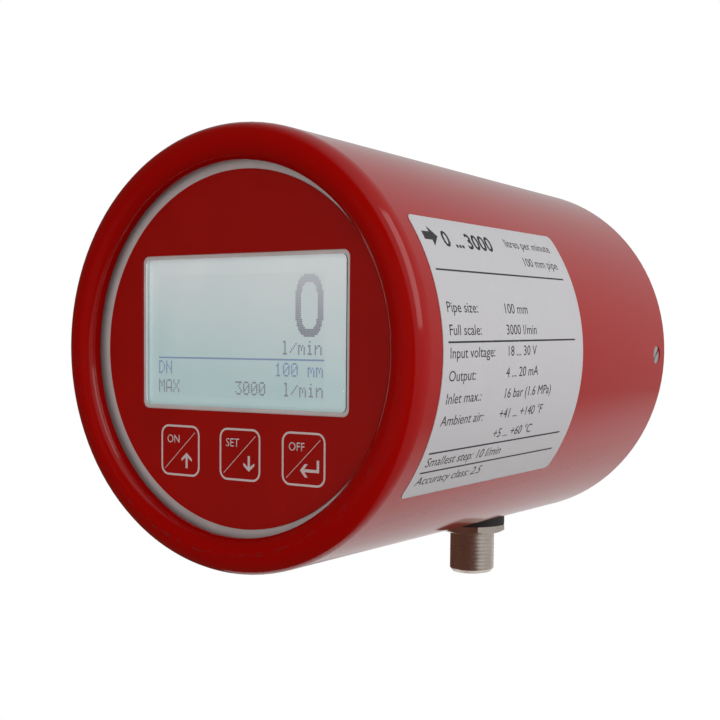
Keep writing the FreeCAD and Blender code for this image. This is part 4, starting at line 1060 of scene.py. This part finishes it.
class METER_OT_label(bpy.types.Operator):
    """Sticks the label on a little askew, as it is, and prints its rules, plain words and figures"""
    bl_idname = "meter.label"
    bl_label = "Label"

    def execute(self, context):
        look = context.scene.meter_label
        film = label_film(look)
        dress(film, "type_label")
        self.film(look, film)
        sheet = bmesh.new()
        self.header(sheet, look)
        rules = [look.title_rule]
        for number, (name, value) in enumerate(LABEL_LINES):
            base = look.first_line - number * look.line_pitch
            if name:
                words(sheet, name, look.left, base, look.word_tall, look.letter_wide)
            if value:
                words(sheet, value, look.right, base, look.word_tall, look.letter_wide)
            if number in RULED_LINES:
                rules.append(base - look.rule_drop)
        steps = 8
        for height in rules:
            stroke(sheet, [(look.rule_start + (look.rule_end - look.rule_start) * step / steps, height)
                           for step in range(steps + 1)], look.rule_stroke)
        thicken(sheet, look.ink_height)
        lay_on_label(sheet, look.tilt, -look.ink_height)
        make_piece(sheet, "label_print", printed_ink("Dark transfer ink", look.ink, 0.6))
        return {"FINISHED"}

    def film(self, look, film):
        """Cuts the label's film and bends it round the tube."""
        thick = LABEL_RADIUS - TUBE_HIGH.x - look.ink_height
        sheet = bmesh.new()
        fill(sheet, rounded(Vector((look.wide / 2, look.rise)), look.wide, look.tall, look.corner))
        steps = 48
        for step in range(1, steps):
            parts = sheet.verts[:] + sheet.edges[:] + sheet.faces[:]
            bmesh.ops.bisect_plane(sheet, geom=parts, plane_co=(0.0, look.tall * (step / steps - 0.5), 0.0),
                                   plane_no=(0.0, 1.0, 0.0))
        thicken(sheet, thick)
        lay_on_label(sheet, look.tilt, -thick - look.ink_height)
        piece = make_piece(sheet, "label_sheet", film, smooth=30)
        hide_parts("type_label")

    def header(self, sheet, look):
        """Prints the flow arrow, the range and its two notes."""
        arrow = ((2.2, 23.5), (5.0, 23.5), (5.0, 22.2), (7.6, 24.4), (5.0, 26.6), (5.0, 25.3), (2.2, 25.3))
        fill(sheet, [Vector(corner) * MM for corner in arrow])
        words(sheet, LABEL_RANGE, look.title_left, look.title_base, look.title_tall, look.letter_wide,
              weight=0.02)
        for number, note in enumerate(LABEL_NOTES):
            words(sheet, note, look.note_end, look.notes_base - number * look.line_pitch, look.word_tall,
                  look.letter_wide, flush_right=True)


class METER_OT_plug(bpy.types.Operator):
    """Turns the plug's body with its hexagon and lock thread, and finishes the pieces in it"""
    bl_idname = "meter.plug"
    bl_label = "Plug"

    def execute(self, context):
        look = context.scene.meter_plug
        axis = middle(GASKET_LOW, GASKET_HIGH)
        head_top = GASKET_LOW.z
        head_foot = head_top - look.hexagon
        start = head_foot - look.neck
        end = SHELL_LOW.z
        root = look.barrel - look.depth
        turns = [look.turn + 2 * math.pi * index / THREAD_SEGMENTS for index in range(THREAD_SEGMENTS)]

        def ring(radius, height):
            """Ring of points at a radius and a height, each a number or a function of the turn."""
            points = []
            for turn in turns:
                reach = radius(turn) if callable(radius) else radius
                rise = height(turn) if callable(height) else height
                points.append((axis.x + reach * math.cos(turn), axis.y + reach * math.sin(turn), rise))
            return points

        def hexagon(turn):
            """Reach of the hexagon in a direction."""
            sixth = math.pi / 3
            off = (turn - look.turn) % sixth - sixth / 2
            return look.flats / 2 / math.cos(off)

        def bevel(turn):
            """Height of the hexagon's turned lower edge in a direction."""
            slope = math.tan(math.radians(30))
            return head_foot + 0.02 * MM + (hexagon(turn) - look.flats / 2) * slope

        def crest(turn, height):
            """Reach of the thread in a direction, inside the end's chamfer."""
            cone = look.tip + (look.barrel - look.tip) * (height - end) / look.chamfer
            growth = min(1.0, (start - height) / (0.5 * look.pitch))
            reach = thread_radius(look.barrel, look.depth, look.pitch, height, turn)
            return min(cone, root + (reach - root) * growth)

        rings = [ring(look.socket, SHELL_HIGH.z), ring(look.shank, SHELL_HIGH.z), ring(look.shank, head_top),
                 ring(hexagon, head_top), ring(hexagon, bevel),
                 ring(look.flats / 2 - 0.03 * MM, head_foot), ring(root, head_foot), ring(root, start)]
        rows = int((start - end) / look.pitch * THREAD_ROWS)
        for row in range(1, rows):
            height = start + (end - start) * row / rows
            rings.append(ring(lambda turn: crest(turn, height), height))
        mouth = 0.15 * MM
        rings += [ring(min(look.tip, root), end), ring(look.socket + mouth, end),
                  ring(look.socket, end + mouth)]
        shape = bmesh.new()
        loft(shape, rings, closed=True)
        bmesh.ops.recalc_face_normals(shape, faces=shape.faces[:])
        nickel = worked_metal("Nickel plated brass", look.nickel, 0.32, 0.4 * MM, 0.001 * MM)
        body = make_piece(shape, "plug_body", nickel, smooth=32)
        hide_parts("connector_shell")
        dress(nickel, "connector_shell")
        dress(moulded("Moulded black nylon", linear("1B1B1D"), 0.45, 0.25 * MM),
              "connector_insert", "lcd_frame", "key_switches", "board_link")
        dress(worked_metal("Gold plated brass", linear("E0B95C"), 0.22, 0.3 * MM, 0.003 * MM),
              "connector_pins")
        dress(moulded("Moulded nitrile rubber", linear("232021"), 0.6, 0.2 * MM),
              "connector_gasket", "front_seal", "rear_seal", "cell_seals")
        return {"FINISHED"}


class METER_OT_inside(bpy.types.Operator):
    """Finishes the pieces that the closed housing hides"""
    bl_idname = "meter.inside"
    bl_label = "Inside"

    def execute(self, context):
        dress(board_laminate(), "display_board", "main_board")
        dress(moulded("Milky acrylic", linear("ECECE6"), 0.35, 0.4 * MM), "lcd_backlight")
        dress(moulded("Moulded green polyamide", linear("3F9A62"), 0.45, 0.3 * MM), "terminal_blocks")
        dress(moulded("Extruded grey jacket", linear("5A5A5E"), 0.55, 0.3 * MM),
              "supply_lead", "sensor_lead")
        dress(worked_metal("Turned stainless steel", linear("C9C7C4"), 0.28, 0.5 * MM, 0.005 * MM),
              "sensor_cell")
        dress(worked_metal("Phosphated spring steel", linear("5C5C60"), 0.45, 0.4 * MM, 0.006 * MM),
              "retaining_ring")
        return {"FINISHED"}


def studio_white(look):
    """Matt white paint on the studio floor: pale, with a glow only where it is seen, so that shadows stay.

    Towards its right edge the board fades out, so that gloss shows no hard end of it.
    """
    material, tree, at = start_finish("Matt white floor paint")
    path = add_node(tree, "LightPath")
    mirrored = add_node(tree, "Math", {
        0: path.outputs["Is Glossy Ray"], 1: look.floor_mirrored}, operation="MULTIPLY")
    seen = add_node(tree, "Math", {
        0: path.outputs["Is Camera Ray"], 1: mirrored.outputs[0]}, operation="MAXIMUM")
    shown = add_node(tree, "Math", {
        0: seen.outputs[0], 1: path.outputs["Is Transmission Ray"]}, operation="MAXIMUM")
    glow = add_node(tree, "Math", {0: shown.outputs[0], 1: look.floor_glow}, operation="MULTIPLY")
    paint = add_node(tree, "BsdfPrincipled", {
        "Base Color": look.floor, "Roughness": 0.9, "Specular IOR Level": 0.0,
        "Emission Color": WHITE, "Emission Strength": glow.outputs[0]})
    slant = (look.floor_back[1] - look.floor_front[1]) / (look.floor_ends[1] - look.floor_ends[0])
    across = add_node(tree, "VectorMath", {0: at, 1: (1.0, -slant, 0.0)}, operation="DOT_PRODUCT")
    edge = look.floor_front[1] - slant * look.floor_ends[0]
    cover = add_node(tree, "MapRange", {
        "Value": across.outputs["Value"], "From Min": edge, "From Max": edge - look.floor_fade},
        interpolation_type="SMOOTHSTEP")
    bare = add_node(tree, "BsdfTransparent")
    shader = add_node(tree, "MixShader", {
        0: cover.outputs["Result"], 1: bare.outputs[0], 2: paint.outputs[0]})
    return end_finish(material, shader)


# Lamps: the setting of their power, width and height in metres, turn to the right of the face's axis and
# height angle in degrees, distance in metres, and whether gloss shows them
LAMPS = {
    "Key strip light": ("key_watts", (0.4, 0.8), (82.0, 34.0), 0.9, True),
    "Side fill": ("side_watts", (0.9, 0.9), (118.0, 0.0), 1.1, False),
    "Front fill": ("fill_watts", (1.2, 1.2), (12.0, -2.0), 1.0, False),
    "Left fill": ("left_watts", (0.9, 0.9), (-100.0, 25.0), 1.1, False),
}


class METER_OT_stage(bpy.types.Operator):
    """Builds the studio: a pale floor, a white backdrop behind the part, soft lamps and the camera"""
    bl_idname = "meter.stage"
    bl_label = "Stage"

    def execute(self, context):
        look = context.scene.meter_stage
        back = direction(look.azimuth, look.elevation)
        self.floor(look)
        self.backdrop(context, look, -back)
        for name, (setting, size, angles, far, in_gloss) in LAMPS.items():
            lamp = self.lamp(name, getattr(look, setting), size, angles, far)
            lamp.visible_glossy = in_gloss
        self.camera(context, look, back)
        context.scene.view_settings.view_transform = "Standard"
        return {"FINISHED"}

    def floor(self, look):
        """Lays the floor, a white board under and behind the part."""
        near, far = look.floor_ends
        sheet = bmesh.new()
        sheet.faces.new([sheet.verts.new((across, along, -look.floor_drop))
                         for across, along in ((look.floor_front[0], near), (look.floor_front[1], near),
                                               (look.floor_back[1], far), (look.floor_back[0], far))])
        mesh = bpy.data.meshes.new("studio_floor")
        sheet.to_mesh(mesh)
        sheet.free()
        mesh.materials.append(studio_white(look))
        ground = bpy.data.objects.new("studio_floor", mesh)
        bpy.context.scene.collection.objects.link(ground)

    def backdrop(self, context, look, ahead):
        """Sets a room: dim before the part, pale on the right, behind and above, and white to the view."""
        world = bpy.data.worlds.new("Studio")
        world.use_nodes = True
        tree = world.node_tree
        tree.nodes.clear()
        way = add_node(tree, "TexCoord").outputs["Generated"]
        aside = add_node(tree, "VectorMath", {
            0: way, 1: direction(look.wall_turn, look.wall_lift)}, operation="DOT_PRODUCT")
        end = math.cos(look.wall_reach)
        softness = 0.08
        walls = add_node(tree, "MapRange", {
            "Value": aside.outputs["Value"], "From Min": end - softness, "From Max": end + softness},
            interpolation_type="SMOOTHSTEP")
        right = add_node(tree, "VectorMath", {
            0: way, 1: direction(look.dusk_turn, 0.0)}, operation="DOT_PRODUCT")
        dusk = add_node(tree, "MapRange", {
            "Value": right.outputs["Value"], "From Min": -0.35, "From Max": 0.05, "To Min": 0.15},
            interpolation_type="SMOOTHSTEP")
        part = add_node(tree, "SeparateXYZ", {"Vector": way})
        height = add_node(tree, "MapRange", {
            "Value": part.outputs["Z"], "From Min": -0.35, "From Max": 0.45, "To Min": 0.5})
        paleness = walls.outputs["Result"]
        for mask in (dusk, height):
            paleness = add_node(tree, "Math", {
                0: paleness, 1: mask.outputs["Result"]}, operation="MULTIPLY").outputs[0]
        around = add_node(tree, "Mix", {
            "Factor": paleness, MIX_A: look.room, MIX_B: look.wall}, data_type="RGBA")
        toward = add_node(tree, "VectorMath", {0: way, 1: ahead}, operation="DOT_PRODUCT")
        white = add_node(tree, "MapRange", {
            "Value": toward.outputs["Value"], "From Min": 0.97, "From Max": 0.995},
            interpolation_type="SMOOTHSTEP")
        path = add_node(tree, "LightPath")
        mirrored = add_node(tree, "Math", {
            0: path.outputs["Is Glossy Ray"], 1: path.outputs["Is Transmission Ray"]}, operation="MAXIMUM")
        behind = add_node(tree, "Math", {
            0: mirrored.outputs[0], 1: white.outputs["Result"]}, operation="MULTIPLY")
        seen = add_node(tree, "Math", {
            0: path.outputs["Is Camera Ray"], 1: behind.outputs[0]}, operation="MAXIMUM")
        shown = add_node(tree, "Mix", {
            "Factor": seen.outputs[0], MIX_A: around.outputs[MIX_RESULT], MIX_B: WHITE}, data_type="RGBA")
        light = add_node(tree, "Background", {"Color": shown.outputs[MIX_RESULT], "Strength": 1.0})
        add_node(tree, "OutputWorld", {"Surface": light.outputs[0]})
        context.scene.world = world

    def lamp(self, name, watts, size, angles, far):
        """Hangs a soft lamp of a width and height, by its two angles and its distance from the part."""
        light = bpy.data.lights.new(name, "AREA")
        light.energy = watts
        light.shape = "RECTANGLE"
        light.size, light.size_y = size
        lamp = bpy.data.objects.new(name, light)
        way = direction(math.radians(angles[0]), math.radians(angles[1]))
        lamp.location = middle(*CAD_BOX) + way * far
        lamp.rotation_euler = way.to_track_quat("Z", "Y").to_euler()
        bpy.context.scene.collection.objects.link(lamp)
        return lamp

    def camera(self, context, look, back):
        """Sets the camera at the photograph's angle."""
        data = bpy.data.cameras.new("Photograph view")
        data.lens = look.lens
        data.sensor_width = 36.0
        data.shift_x, data.shift_y = look.shift
        camera = bpy.data.objects.new("Photograph view", data)
        level = Vector((math.cos(look.azimuth), math.sin(look.azimuth), 0.0))
        upright = back.cross(level)
        right = level * math.cos(look.roll) + upright * math.sin(look.roll)
        up = upright * math.cos(look.roll) - level * math.sin(look.roll)
        turn = Matrix((right, up, back)).transposed().to_4x4()
        camera.matrix_world = Matrix.Translation(Vector(look.camera)) @ turn
        context.scene.collection.objects.link(camera)
        context.scene.camera = camera


OPERATORS = (METER_OT_housing, METER_OT_rear_plate, METER_OT_keypad, METER_OT_display, METER_OT_label,
             METER_OT_plug, METER_OT_inside, METER_OT_stage)


class METER_PT_sidebar(bpy.types.Panel):
    """Sidebar panel with the steps and their sizes and colours"""
    bl_idname = "METER_PT_sidebar"
    bl_label = "Flow meter"
    bl_space_type = "VIEW_3D"
    bl_region_type = "UI"
    bl_category = "Flow meter"

    def draw(self, context):
        for step in OPERATORS:
            self.layout.operator(step.bl_idname)
        for name, group in LOOKS.items():
            box = self.layout.box()
            box.label(text=group.__doc__)
            for field in group.__annotations__:
                box.prop(getattr(context.scene, name), field)


CLASSES = (*LOOKS.values(), *OPERATORS, METER_PT_sidebar)


def register():
    """Adds the classes and the scene's settings."""
    for entry in CLASSES:
        bpy.utils.register_class(entry)
    for name, group in LOOKS.items():
        setattr(bpy.types.Scene, name, bpy.props.PointerProperty(type=group))


def unregister():
    """Takes the settings and classes away again."""
    for name in LOOKS:
        delattr(bpy.types.Scene, name)
    for entry in reversed(CLASSES):
        bpy.utils.unregister_class(entry)


def main():
    """Builds every piece in order."""
    register()
    for step in OPERATORS:
        group, name = step.bl_idname.split(".")
        getattr(getattr(bpy.ops, group), name)()


if __name__ == "__main__":
    main()
